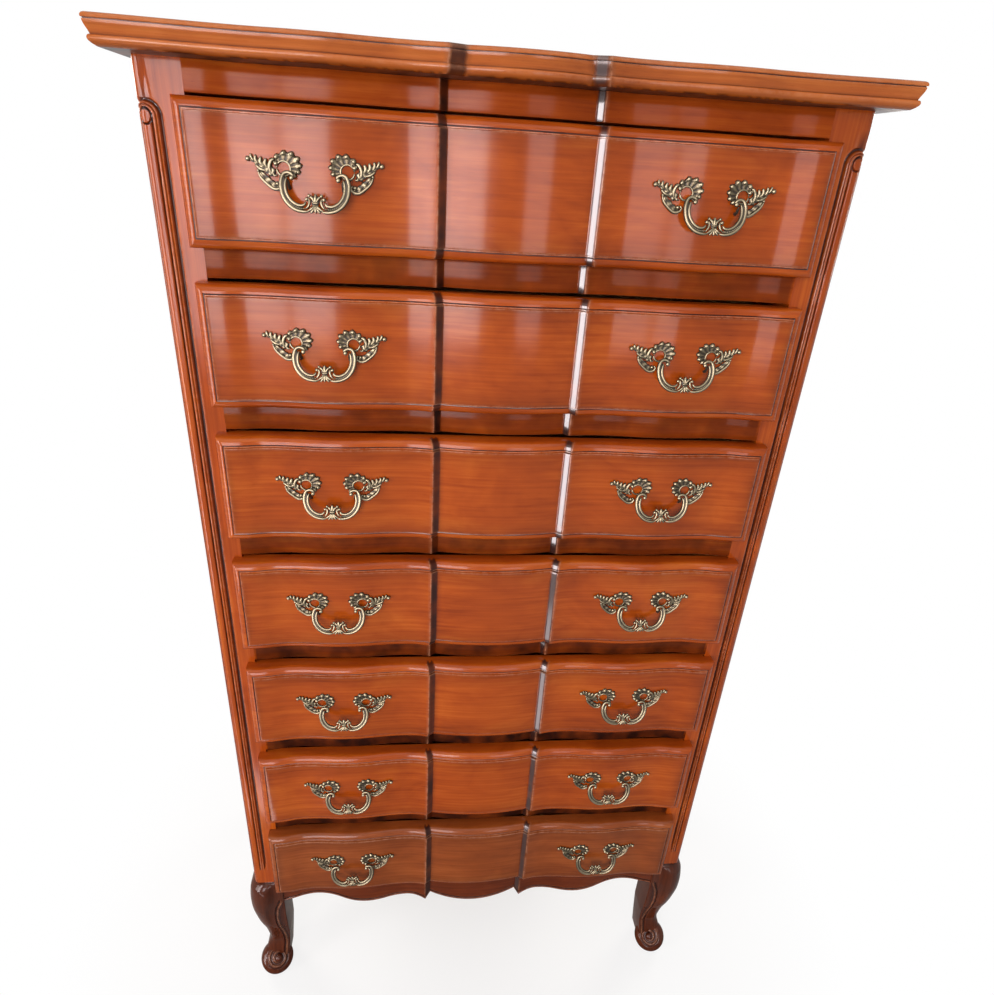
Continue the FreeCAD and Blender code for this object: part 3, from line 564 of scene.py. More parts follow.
@dataclass(frozen=True)
class Brass:
    """Antiqued cast brass: polished on its ridges, brown in its hollows."""

    name: str = "antiqued_brass"
    recess: tuple = (0.010, 0.007, 0.004)
    body: tuple = (0.058, 0.044, 0.025)
    ridge: tuple = (0.178, 0.152, 0.100)
    stops: tuple = (0.18, 0.5, 0.92)              # wear at the recess, body and ridge colours
    speckle: float = 0.35                         # how far the fine noise shifts the wear
    metallic: float = 0.35                        # in the hollows; it grows with the wear
    metallic_rise: float = 0.9
    roughness: float = 0.55                       # in the hollows; it falls with the wear
    polish: float = 0.24

    def material(self) -> bpy.types.Material:
        """Build the finish.

        Returns:
            The new material.
        """
        material = bpy.data.materials.new(self.name)
        material.use_nodes = True
        nodes = Nodes(material.node_tree)
        where = nodes.add("TexCoord").outputs["Object"]
        speck = nodes.noise(where, 900.0, 3.0, 0.7)
        level = nodes.math("ADD", nodes.mark("wear"),
                           nodes.math("MULTIPLY", nodes.math("SUBTRACT", speck, 0.5), self.speckle),
                           clamp=True)
        colour = nodes.ramp(level, tuple(zip(self.stops, (self.recess, self.body, self.ridge))))
        metal = nodes.math("ADD", nodes.math("MULTIPLY", level, self.metallic_rise), self.metallic,
                           clamp=True)
        dull = nodes.math("SUBTRACT", self.roughness, nodes.math("MULTIPLY", level, self.polish))
        stipple = nodes.add("Bump", {"Strength": 0.25, "Distance": 0.0004, "Height": speck})
        shader = nodes.add("BsdfPrincipled", {"Base Color": colour, "Metallic": metal, "Roughness": dull,
                                              "Normal": stipple.outputs[0]})
        nodes.add("OutputMaterial", {"Surface": shader.outputs[0]})
        return material


# ---------------------------------------------------------------- the serpentine front


@dataclass(frozen=True)
class Serpentine:
    """The plan line of the front: places along X and depths behind its outer ends."""

    hollow_at: float = 282.0
    crown_at: float = 212.5
    inner_at: float = 122.0
    step_front: float = 87.5
    step_back: float = 78.3
    step_shift: float = 0.35
    hollow: float = 5.5
    crown: float = 2.0
    inner: float = 7.1
    corner: float = 2.9
    back: float = 9.2
    centre: float = 1.6
    corner_band: float = 1.2                      # width of the close columns beside each end of the step
    worn: tuple = (0.75, 1.8)                     # wear on the step's front corner, half width of its band
    shade_glazed: tuple = (1.3, 0.75)                   # painted shade on the step faces, and its half width by the step's own
    right_step_shade_and_pool: float = 1.1                             # most painted shade on the right step, deep enough there to lie under pooled clear lacquer
    left_step_shade: float = 0.87                             # most painted shade on the left step

    def columns(self, half: float, fine: float = 1.0) -> np.ndarray:
        """Choose the grid's columns, closest where the line turns most.

        Args:
            half: half the width that they cover.
            fine: how many times as many columns each span gets.

        Returns:
            X of the columns, from -half to half.
        """
        band = self.corner_band
        spans = ((0, self.step_back - band, 14), (self.step_back - band, self.step_back, 2),
                 (self.step_back, self.step_front, 6), (self.step_front, self.step_front + band, 2),
                 (self.step_front + band, self.inner_at, 10), (self.inner_at, self.crown_at, 16),
                 (self.crown_at, self.hollow_at, 14), (self.hollow_at, half, 14))
        parts = [np.linspace(a, b, int(count * fine), endpoint=False) for a, b, count in spans]
        right = np.concatenate(parts + [[half]])
        return np.concatenate([-right[:0:-1], right])

    def depth(self, x: np.ndarray, half: float) -> np.ndarray:
        """Work out how far the line lies behind its outer ends.

        The middle swell and the cove beside the step are parabolas, the step is straight, and each
        of the three outer curves is an S.

        Args:
            x: places along the front.
            half: half width at which the line comes back to depth 0.

        Returns:
            The depth at each place.
        """
        a = np.abs(x)
        swell = self.centre + (self.back - self.centre) * (a / self.step_back) ** 2
        width = self.step_front - self.step_back
        step = self.back + (self.corner - self.back) * (a - self.step_back) / width
        reach = (self.inner_at - a) / (self.inner_at - self.step_front)
        cove = self.inner + (self.corner - self.inner) * reach ** 2
        up = ess((a - self.inner_at) / (self.crown_at - self.inner_at))
        rise = self.inner + (self.crown - self.inner) * up
        down = ess((a - self.crown_at) / (self.hollow_at - self.crown_at))
        fall = self.crown + (self.hollow - self.crown) * down
        end = self.hollow * (1 - ess((a - self.hollow_at) / (half - self.hollow_at)))
        return np.select([a <= self.step_back, a <= self.step_front, a <= self.inner_at, a <= self.crown_at,
                          a <= self.hollow_at], [swell, step, cove, rise, fall], end)

    def shifted(self, x: np.ndarray, behind: np.ndarray | float) -> np.ndarray:
        """Draw the step outwards, as it is on a face that lies behind the line.

        Args:
            x: places along the front.
            behind: how far behind the line the face lies at each.

        Returns:
            The moved places.
        """
        a = np.abs(x)
        outer = (self.inner_at - a) / (self.inner_at - self.step_front)
        share = np.clip(np.minimum(a / self.step_back, outer), 0, 1)
        return x + np.sign(x) * self.step_shift * behind * share

    def wear(self, x: np.ndarray) -> np.ndarray:
        """Return the rubbing along the step's front corner."""
        return self.worn[0] * bump(np.abs(x), self.step_front, self.worn[1])

    def grime(self, x: np.ndarray) -> np.ndarray:
        """Work out the painted shade on the step faces; only on the right one is it deep enough to lie under
        pooled lacquer.

        Args:
            x: places along the front.

        Returns:
            The mark of painted shade at each place.
        """
        most, reach = self.shade_glazed
        glaze = most * bump(np.abs(x), 0.5 * (self.step_back + self.step_front),
                            reach * (self.step_front - self.step_back))
        return np.minimum(glaze, np.where(x > 0, self.right_step_shade_and_pool, self.left_step_shade))


@dataclass
class Case:
    """Places that the sub-assemblies share, read from the frame, in millimetres."""

    plan: Serpentine = field(default_factory=Serpentine)

    def edge(self, node: str, axis: int, top: bool = True) -> float:
        """Return one side of a CAD node's box."""
        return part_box(node)[1 if top else 0][axis] / MM

    @property
    def front(self) -> float:
        """Y of the drawer fronts' outer ends."""
        return self.edge("drawer_1_front", 1, False)

    @property
    def face(self) -> float:
        """Y of the rails' outer ends."""
        return self.edge("frieze_rail", 1, False)

    @property
    def opening(self) -> float:
        """Half width of the openings."""
        return self.edge("frieze_rail", 0)


@dataclass
class DrawerFronts:
    """The seven moulded, mitred fronts."""

    case: Case
    half: float = 350.0
    lip_back: float = -193.5
    back: float = -186.0
    rebate: float = 338.5
    ovolo: float = 9.3                            # width of the quarter round along the edge
    fall: float = 13.0                            # whole depth of the moulding
    quirk: float = 3.2                            # depth at the foot of the field
    frame_width: float = 12.7                     # edge of the board to the field
    round_points: int = 9
    # beyond the quarter round: distance, depth, wear, and painted shade with glazing in the small cove and at
    # the foot of the field
    inner: tuple = ((9.7, 3.9, 0, 0.9), (10.3, 4.1, 0, 1.0), (10.8, 3.7, 0, 0.7), (11.0, 3.0, 0.5, 0.1),
                    (11.6, 2.9, 0.75, 0), (12.2, 3.0, 0.2, 0.2), (12.35, 2.3, 0, 0.3), (12.5, 0.7, 0.5, 0),
                    (12.9, 0.1, 0.7, 0), (13.6, 0.0, 0.1, 0), (16.5, 0.0, 0, 0))
    field_edge_dark: tuple = (0.4, 7.0)                     # darker along the field's edge, and how fast that fades
    slack: float = 0.2                            # play of the tongue, above and below

    def profile(self) -> np.ndarray:
        """Describe the moulding: a quarter round from the edge, a small cove, a fillet, the field's step.

        Returns:
            Four rows: distance from the edge, depth, wear, and painted shade with glazing.
        """
        t = np.linspace(0, math.pi / 2, self.round_points)
        out = self.ovolo * (1 - np.cos(t))
        down = self.quirk + (self.fall - self.quirk) * (1 - np.sin(t))
        clean = np.zeros(self.round_points)
        return np.concatenate([np.stack([out, down, clean, clean]), np.array(self.inner).T], axis=1)

    def patches(self, foot: float, head: float) -> list[Patch]:
        """Draw one front.

        The face is a height field: the depth at a point is the serpentine's plus the moulding's at
        the nearer of the two nearest edges, which mitres the corners.

        Args:
            foot: height of its lower edge.
            head: height of its upper edge.

        Returns:
            The lipped face and the tongue behind it.
        """
        plan = self.case.plan
        out, down, wear, grime = self.profile()
        field_half = self.half - self.frame_width
        inner = plan.columns(field_half)
        inner = inner[np.abs(inner) < self.half - out[-1] - 0.5]
        x = np.concatenate([-self.half + out, inner, (self.half - out)[::-1]])
        z = np.concatenate([foot + out, np.linspace(foot + out[-1], head - out[-1], 6)[1:-1],
                            (head - out)[::-1]])
        from_end = self.half - np.abs(x)
        from_edge = np.minimum(z - foot, head - z)
        nearest = np.minimum(from_edge[:, None], from_end[None, :])
        behind = np.interp(nearest, out, down)
        depth = np.where(np.abs(x) < field_half, plan.depth(x, field_half), 0)
        points = np.empty((len(z), len(x), 3))
        points[..., 0] = plan.shifted(x[None, :], np.interp(from_edge, out, down)[:, None])
        points[..., 1] = self.case.front + depth[None, :] + behind
        points[..., 2] = z[:, None]
        rubbed = np.maximum(np.interp(nearest, out, wear), plan.wear(x)[None, :])
        # painted shade in the cove and on the step faces
        shade_glazed = np.maximum(np.interp(nearest, out, grime), plan.grime(x)[None, :])
        field_edge_dark = self.field_edge_dark[0] * np.exp(-np.maximum(nearest - self.frame_width, 0) / self.field_edge_dark[1])
        face = Patch(points, rubbed, np.maximum(shade_glazed, field_edge_dark * (nearest > self.frame_width)))
        tongue = slab((-self.rebate, self.lip_back - 1, foot + self.slack),
                      (self.rebate, self.back, head - self.slack))
        return boxed(face, self.lip_back) + tongue

    def build(self, finish: bpy.types.Material, lowest: bpy.types.Material) -> None:
        """Make all seven fronts, the lower ones as copies of the first.

        Args:
            finish: the finish of all but the lowest.
            lowest: the finish of the lowest, a darker copy of the lacquer: painted shade.
        """
        case = self.case
        first = make_mesh("drawer_1_front_moulded", self.patches(case.edge("drawer_1_front", 2, False),
                                                                 case.edge("drawer_1_front", 2)))
        for number in DRAWERS:
            node = f"drawer_{number}_front"
            drop = case.edge("drawer_1_front", 2) - case.edge(node, 2)
            piece = first if number == 1 else lowered(first, node + "_moulded", drop)
            chosen = lowest if number == DRAWERS[-1] else finish
            place(piece, f"drawer_{number}", chosen, [node])


@dataclass
class Rails:
    """The frieze and the rails between the drawers, all on the serpentine plan."""

    case: Case
    rear: float = -133.0
    arris: float = 0.9                            # rounding of the front edges
    overhang_shade: tuple = (0.5, 0.5, 0.6, 0.75, 0.85, 0.85)   # painted shade on the rail above drawers 2 to 7, under the drawer that overhangs it
    # painted shade on the frieze, under the top
    frieze_shade: float = 0.15
    wear: tuple = (0.1, 0.15, 0, 0, 0.15, 0.1)    # of the face's rows, from its lower edge up
    gap_above: float = 1.5                        # between a rail and the drawer over it
    gap_below: float = 3.5

    def board(self, foot: float, head: float, overhang_shade: float) -> list[Patch]:
        """Draw one rail: a front on the plan line, and its other faces flat.

        Args:
            foot: height of its underside.
            head: height of its upper side.
            overhang_shade: painted shade over its whole front, from what overhangs it.

        Returns:
            The rail's closed surface.
        """
        plan, half = self.case.plan, self.case.opening
        x = plan.columns(half)
        depth = plan.depth(x, half)
        rows = [(foot, self.arris), (foot + 0.3 * self.arris, 0.3 * self.arris), (foot + self.arris, 0),
                (head - self.arris, 0), (head - 0.3 * self.arris, 0.3 * self.arris), (head, self.arris)]
        points = np.array([[(a, self.case.face + b + back, z) for a, b in zip(x, depth)] for z, back in rows])
        wear = np.array(self.wear)[:, None] * np.ones(len(x))
        # painted shade on the step faces, and over the whole front under what overhangs it
        grime = np.tile(np.maximum(plan.grime(x), overhang_shade), (len(rows), 1))
        return boxed(Patch(points, np.maximum(wear, plan.wear(x)), grime), self.rear)

    def build(self, finish: bpy.types.Material) -> None:
        """Make the frieze and the six rails.

        Args:
            finish: their finish.
        """
        case = self.case
        frieze = self.board(case.edge("frieze_rail", 2, False), case.edge("frieze_rail", 2), self.frieze_shade)
        place(make_mesh("frieze", frieze), "case", finish, ["frieze_rail"])
        patches = []
        for number, overhang_shade in zip(DRAWERS[1:], self.overhang_shade):
            head = case.edge(f"drawer_{number - 1}_front", 2, False) - self.gap_above
            foot = case.edge(f"drawer_{number}_front", 2) + self.gap_below
            patches += self.board(foot, head, overhang_shade)
        place(make_mesh("rails", patches), "case", finish, ["drawer_rails"])


@dataclass
class Apron:
    """The shaped board under the drawers, with a bead along its lower edge."""

    case: Case
    thickness: float = 22.0
    arch_at: float = 283.0                        # places along X where the lower edge turns
    lobe_at: float = 189.0
    rise_at: float = 122.0
    end_drop: float = 47.0                        # and how far below the upper edge it lies there
    arch_drop: float = 37.5
    lobe_drop: float = 63.0
    rise_drop: float = 54.5
    point_drop: float = 66.5
    middle_drop: float = 71.5
    # up from the lower edge, proud of the face, wear, and painted shade with glazing in the cove behind the
    # bead
    bead: tuple = ((0.0, -2.0, 0, 0), (0.3, -0.8, 0.2, 0), (1.2, 0.3, 0.5, 0), (2.6, 0.9, 0.6, 0),
                   (4.0, 0.5, 0.2, 0.1), (4.9, -0.7, 0, 0.8), (5.3, -2.2, 0, 1), (6.3, -2.4, 0, 1),
                   (6.9, -0.8, 0, 0.6), (7.4, 0.0, 0.25, 0.2), (9.0, 0.0, 0, 0))
    step_wear: float = 0.5                        # wear of the step's corner, by the drawers' own

    def drop(self, x: np.ndarray) -> np.ndarray:
        """Work out the lower edge: arches at the ends, lobes, points and a swelling middle.

        Args:
            x: places along the board.

        Returns:
            How far the lower edge lies below the upper one at each.
        """
        plan, a, half = self.case.plan, np.abs(x), self.case.opening

        def span(first: float, last: float, start: float, end: float) -> np.ndarray:
            """Return an S from the first drop at the start to the last at the end."""
            return first + (last - first) * ess((a - start) / (end - start))
        middle = self.middle_drop + (self.rise_drop - self.middle_drop) * (a / plan.step_back) ** 2
        inner = np.interp(a, [plan.step_back, plan.step_front], [self.rise_drop, self.point_drop])
        tip = self.rise_drop + (self.point_drop - self.rise_drop) * (
            (self.rise_at - a) / (self.rise_at - plan.step_front)) ** 2
        reach = (a - self.arch_at) / (half - self.arch_at)
        end = self.arch_drop + (self.end_drop - self.arch_drop) * reach ** 2
        return np.select(
            [a <= plan.step_back, a <= plan.step_front, a <= self.rise_at, a <= self.lobe_at,
             a <= self.arch_at],
            [middle, inner, tip, span(self.rise_drop, self.lobe_drop, self.rise_at, self.lobe_at),
             span(self.lobe_drop, self.arch_drop, self.lobe_at, self.arch_at)], end)

    def build(self, finish: bpy.types.Material) -> None:
        """Make the apron: its rows follow the lower edge at the bead and level out at the top.

        Args:
            finish: its finish.
        """
        plan, case = self.case.plan, self.case
        head = case.edge("apron", 2)
        x = plan.columns(case.opening, 2.0)
        front = case.face + plan.depth(x, case.opening)
        low = head - self.drop(x)
        bead = np.array(self.bead)
        rows = [np.stack([x, front - proud, low + up], axis=-1) for up, proud in bead[:, :2]]
        rows += [np.stack([x, front, low + (head - low) * share], axis=-1) for share in (0.5, 1.0)]
        points = np.stack(rows)
        wear, grime = (np.concatenate([mark, [0, 0]])[:, None] * np.ones(len(x)) for mark in bead[:, 2:].T)
        rear = points.copy()
        rear[..., 1] = case.face + self.thickness
        edges = [np.stack([points[row], rear[row]]) for row in (0, -1)]
        edges += [np.stack([points[:, column], rear[:, column]]) for column in (0, -1)]
        rubbed = np.maximum(wear, self.step_wear * plan.wear(x))
        patches = [Patch(points, rubbed, np.maximum(grime, plan.grime(x))),
                   Patch(rear)] + [Patch(strip) for strip in edges]
        place(make_mesh("apron_beaded", patches), "case", finish, ["apron"])


@dataclass
class Top:
    """The top board with its nosed and beaded edge, whose step is drawn wider than the drawers'."""

    case: Case
    plan: Serpentine = field(default_factory=lambda: Serpentine(step_front=85.0, step_back=67.0))
    fade: float = 1.5                             # how far the edge's marks run onto the flat faces
    underside: float = 0.87                       # painted shade under the board, which also makes it dull
    profile: tuple = (                            # depth below the upper face, inset, wear, and painted shade with glazing
        (0.0, 5.0, 0, 0), (0.25, 2.9, 0.3, 0), (1.2, 1.1, 0.4, 0), (2.6, 0.2, 0.3, 0), (4.0, 0.0, 0.2, 0),
        (4.7, 0.4, 0.2, 0.2), (4.9, 1.5, 0, 0.9), (5.5, 1.6, 0, 0.9), (5.7, 0.7, 0.4, 0.1),
        (7.0, 0.8, 0.1, 0), (9.0, 1.3, 0, 0), (11.5, 2.3, 0, 0), (14.0, 3.5, 0, 0), (15.8, 4.2, 0, 0.2),
        (16.8, 4.5, 0, 0.7), (17.2, 3.4, 0, 0.2), (18.0, 2.6, 0.1, 0), (19.4, 2.1, 0.25, 0),
        (20.8, 2.2, 0.2, 0), (22.2, 3.0, 0, 0), (23.8, 4.6, 0, 0.1), (26.0, 8.0, 0, 0.3))

    def ring(self, inset: float) -> np.ndarray:
        """Draw the outline at one level of the edge.

        Args:
            inset: how far it lies inside the widest outline.

        Returns:
            Points (x, y) from one rear corner round the front to the other.
        """
        case, plan = self.case, self.plan
        half = case.edge("top", 0) - inset
        ahead = case.front - case.edge("top", 1, False) - inset
        x = np.clip(plan.columns(case.edge("top", 0)), -half, half)
        depth = plan.depth(x, half)
        line = np.stack([plan.shifted(x, -ahead), case.front - ahead + depth], axis=-1)
        rear = case.edge("top", 1)
        return np.concatenate([[(-half, rear)], line, [(half, rear)]])

    def build(self, finish: bpy.types.Material) -> None:
        """Make the top: the edge is its profile carried round the outline, closed by flat faces.

        Args:
            finish: its finish.
        """
        case = self.case
        height, rows = case.edge("top", 2), np.array(self.profile)
        rings = [self.ring(inset) for inset in rows[:, 1]]
        points = np.array([np.column_stack([ring, np.full(len(ring), height - down)])
                           for ring, down in zip(rings, rows[:, 0])])
        along = self.plan.columns(case.edge("top", 0))
        corner = np.concatenate([[0], self.plan.wear(along), [0]])
        # painted shade on the step faces of the edge
        inner = np.concatenate([[0], self.plan.grime(along), [0]])
        edge = Patch(points, np.maximum(rows[:, 2:3], corner), np.maximum(rows[:, 3:4], inner))
        patches = [edge]
        for row in (0, -1):
            line = points[row, 1:-1]
            near, back = line.copy(), line.copy()
            near[:, 1] += self.fade
            back[:, 1] = case.edge("top", 1)
            # painted shade under the board
            patches.append(Patch(np.stack([line, near, back]), 0.0, self.underside if row else 0.0))
        rear_rows = []
        for row in points:
            line = row[1:-1].copy()
            line[:, 1] = case.edge("top", 1)
            rear_rows.append(line)
        patches.append(Patch(np.array(rear_rows)))
        place(make_mesh("top_board", patches), "case", finish, ["top"])


@dataclass
class Posts:
    """The two reeded front posts."""

    case: Case
    width: float = 48.0
    depth: float = 50.0
    corner: float = 8.0
    reed_at: float = 40.8                         # middle of the pattern, developed from the inner front edge
    quirk: float = 6.2                            # half widths of the reed, the inner and the outer bead
    bead: float = 10.3
    groove: float = 14.8
    button: tuple = (5.8, 7.0)                    # half width and half height
    head: float = 1432.0                          # height of the button's middle
    foot: float = 283.0                           # height where the reeds end in a point
    fading: float = 26.0                          # over which they die away
    cuts: tuple = (4.2, 2.0, 1.2, 0.9, 2.3, 0.4)  # groove, two quirks, reed's shoulder, ring, button's rise
    pattern_end: float = 62.0                     # developed distance beyond which nothing is rubbed

    def developed(self) -> tuple[np.ndarray, np.ndarray, np.ndarray]:
        """Develop the section round the rounded front corner.

        Returns:
            The developed distance from the inner front edge, the points (x, y) relative to the two
            outer faces, and the outward normals there.
        """
        w, d, r = self.width, self.depth, self.corner
        flat = np.concatenate([np.linspace(0, 20, 5), np.linspace(20.5, w - r, 28)])
        arc = np.linspace(0, math.pi / 2, 14)[1:]
        side = np.concatenate([np.linspace(0, 12, 14)[1:], [25, d - r]])
        a = np.concatenate([flat, w - r + r * arc, w - r + r * math.pi / 2 + side])
        along = np.concatenate([flat - w, -r + r * np.sin(arc), np.zeros(len(side))])
        back = np.concatenate([np.zeros(len(flat)), r - r * np.cos(arc), r + side])
        normal_x = np.concatenate([np.zeros(len(flat)), np.sin(arc), np.ones(len(side))])
        normal_y = np.concatenate([-np.ones(len(flat)), -np.cos(arc), np.zeros(len(side))])
        return a, np.stack([along, back], axis=-1), np.stack([normal_x, normal_y], axis=-1)

    def relief(self, a: np.ndarray, z: np.ndarray) -> tuple[np.ndarray, np.ndarray, np.ndarray]:
        """Carve the reed, its beads and the button.

        Below the head each quirk and groove lies at its distance from the reed's middle line, above
        it at that distance from the button's middle, so it closes in an arch. All die away to a
        point at the foot. The button is an upright ellipse with a ring cut round it.

        Args:
            a: developed distances.
            z: heights.

        Returns:
            The depth cut into the post, the wear, and the painted shade with glazing at each point.
        """
        groove, quirk, second, shoulder, moat, rise = self.cuts
        across = np.abs(a - self.reed_at)
        line = np.where(z > self.head, np.hypot(across, z - self.head), across)
        fade = np.clip((z - self.foot) / self.fading, 0, 1) ** 0.7
        deep = bump(line, self.groove - 1.5 * (1 - fade), 2.9 * np.clip(fade, 0.02, 1))
        quirks = quirk * bump(line, self.quirk, 1.5) + second * bump(line, self.bead, 1.2)
        reed = shoulder * np.clip(line / self.quirk, 0, 1) ** 3 * (line < self.quirk)
        cut = groove * deep + (quirks + reed) * fade
        oval = np.hypot((a - self.reed_at) / self.button[0], (z - self.head) / self.button[1])
        ring = bump(oval, 1.08, 0.2)
        cut = np.where(oval < 1.16, moat * ring - rise * np.clip(1 - oval ** 4, 0, 1), cut)
        beads = bump(line, 8.3, 1.8) + bump(line, 12.0, 1.4) + 0.8 * bump(line, self.groove + 3.4, 1.2)
        alive = (z > self.foot) * (a < self.pattern_end)
        # painted shade with glazing in the deep groove, the quirks and the ring round the button
        grime = np.clip(deep + 0.5 * quirks + (oval < 1.2) * ring, 0, 1)
        return cut * (z > self.foot), 0.45 * beads * alive * (oval > 1.2), grime * alive

    def build(self, finish: bpy.types.Material) -> None:
        """Make both posts as a grid over the developed section and the height.

        Args:
            finish: their finish.
        """
        case = self.case
        low, high = case.edge("corner_post_right", 2, False), case.edge("corner_post_right", 2)
        outer = case.edge("corner_post_right", 0)
        a, section, normal = self.developed()
        z = np.concatenate([np.linspace(low, self.foot, 5), np.linspace(self.foot + 1, self.foot + 30, 16),
                            np.linspace(self.foot + 60, self.head - 20, 14),
                            np.linspace(self.head - 9, self.head + 16, 34), [high - 18, high]])
        grid_a, grid_z = np.meshgrid(a, z)
        cut, wear, grime = self.relief(grid_a, grid_z)
        points = np.empty(grid_a.shape + (3,))
        points[..., 0] = outer + section[:, 0] - cut * normal[:, 0]
        points[..., 1] = case.face + section[:, 1] - cut * normal[:, 1]
        points[..., 2] = grid_z
        inner = points[:, [-1, -1, 0]].copy()
        inner[:, 0, 1] = inner[:, 1, 1] = case.face + self.depth
        inner[:, 1, 0] = inner[:, 2, 0] = outer - self.width
        closing = np.concatenate([points[:, -1:], inner[:, :2], points[:, :1]], axis=1)
        loop = np.concatenate([points, closing[:, 1:]], axis=1)
        patches = [Patch(points, wear, grime), Patch(closing), fan(loop[0]), fan(loop[-1])]
        for side, node in ((Side.LEFT, "corner_post_left"), (Side.RIGHT, "corner_post_right")):
            place(make_mesh(node + "_reeded", mirrored(patches, side)), "case", finish, [node])


@dataclass
class FrontLegs:
    """The cabriole legs with their bead and scrolled feet."""

    case: Case
    width: float = 48.0
    depth: float = 50.0
    # the rows below are (height, offset or size), from the post down
    bulge: tuple = ((250, -3.0), (247, -2.6), (244, 2.4), (239, 7.4), (230, 11.2), (215, 12.8), (200, 12.8),
                    (181, 11.5), (159, 8.0), (135, 3.5), (110, -2.5), (85, -6.5), (72, -7.5), (60, -6.0),
                    (50, -3.0), (40, -1.0), (30, -4.0), (14, -12.0))
    slim: tuple = ((250, 0.0), (150, 0.0), (100, -1.0), (60, 2.0), (14, 6.0))
    scroll_radius: float = 29.0
    scroll_half: float = 15.0
    scroll_at: tuple = (368.0, -187.0, 24.5)      # the middle of the right foot's scroll
    scroll_aim: tuple = (-0.30, -0.62, 0.72)      # which way its open end looks: inwards, forwards and up
    bead_drift: tuple = ((250, 0.0), (199, 0.0), (190, 4.0), (178, 8.0), (160, 10.5), (138, 10.5), (112, 7.0),
                         (88, 3.0), (70, 0.5), (14, 0.0))
    bead_size: tuple = ((250, 0.0), (204, 0.0), (199, 1.0), (14, 1.0))
    # the bead's section: distance outwards, and back from the front
    bead: tuple = ((11.5, 0.0), (10.2, 0.3), (9.3, 1.9), (8.2, 2.5), (7.3, 1.2), (6.3, -0.6), (4.6, -1.5),
                   (3.0, -0.9), (2.2, 0.5), (1.6, 1.0), (0.3, 2.0), (0.0, 4.0))
    rounding: tuple = ((250, 14), (240, 24), (225, 28), (195, 24), (150, 19), (60, 14), (14, 10))
    inner_swell: float = 0.3                      # how much of the swell the inner side takes
    back_round: float = 4.0
    coil: float = 8.0                             # from one turn of the scroll's ridge to the next
    eye: float = 6.4                              # radius of the scroll's eye

    def section(self, wide: float, deep: float, inside: float, outer_round: float, drift: float,
                size: float) -> np.ndarray:
        """Draw one level section of the leg.

        It is a rectangle with four rounded corners, whose front swells most on the outer side. A bead
        and its groove run on the front beside the inner corner.

        Args:
            wide: its width.
            deep: its depth on the outer side.
            inside: how far its inner face stands outwards from the post's.
            outer_round: radius of the outer front corner.
            drift: how far the bead lies outwards from the inner corner.
            size: how far the bead is raised, from 0 to 1.

        Returns:
            Rows of (outwards, forwards, wear, and painted shade with glazing) round the section, the first
            two measured from the leg's inner back corner.
        """
        low = min(deep, self.depth + self.inner_swell * (deep - self.depth))

        def arc(cx: float, cy: float, radius: float, start: float, count: int) -> np.ndarray:
            """Return a quarter circle from a starting angle in degrees."""
            turn = np.radians(start) + np.linspace(0, math.pi / 2, count)
            return np.stack([cx + radius * np.cos(turn), cy + radius * np.sin(turn)], axis=-1)
        small, big = self.back_round, outer_round
        bead_line = np.array(self.bead) + (inside, 0.0)
        bead_line[:9, 0] += drift
        bead_line[:10, 1] *= size
        bead_line[:, 1] = low - bead_line[:, 1]
        across = np.linspace(0, 1, 10)[1:]
        front = np.stack([wide - big + (inside + drift + 12.2 - wide + big) * across,
                          deep + (low - deep) * ess(across)], axis=-1)
        parts = [arc(inside + 2, 2.0, 2.0, 180, 4), arc(wide - small, small, small, 270, 6),
                 arc(wide - big, deep - big, big, 0, 14), front, bead_line]
        line = np.concatenate(parts)
        wear, grime = np.zeros(len(line)), np.zeros(len(line))
        wear[-7:-4] = 0.3 * size
        # painted shade with glazing in the groove beside the bead
        grime[[-10, -9, -8, -4]] = 0.95 * size
        line = np.column_stack([line, wear, grime])
        return np.concatenate([line, line[:1]])

    def shank(self) -> list[Patch]:
        """Draw the leg above the scroll.

        Returns:
            Its sections stacked from the post down into the foot, and its two ends.
        """
        z = np.concatenate([np.linspace(250, 236, 15), np.linspace(232, 60, 44), np.linspace(56, 14, 14)])
        bulge = smooth_line(np.array(self.bulge), 400)[::-1]
        out = np.interp(z, bulge[:, 0], bulge[:, 1])
        slim, roundness, drift, size = (
            np.interp(z, *np.array(rows, float)[::-1].T)
            for rows in (self.slim, self.rounding, self.bead_drift, self.bead_size))
        outer, face = self.case.edge("corner_post_right", 0), self.case.face
        rings = np.array([self.section(self.width + o, self.depth + o, *rest)
                          for o, *rest in zip(out, slim, roundness, drift, size)])
        points = np.empty(rings.shape[:2] + (3,))
        points[..., 0] = outer - self.width + rings[..., 0]
        points[..., 1] = face + self.depth - rings[..., 1]
        points[..., 2] = z[:, None]
        # painted shade in the crease where the knee meets the post
        grime = np.maximum(rings[..., 3], bump(z, 248.5, 5.0)[:, None])
        return [Patch(points, rings[..., 2], grime), fan(points[0]), fan(points[-1])]

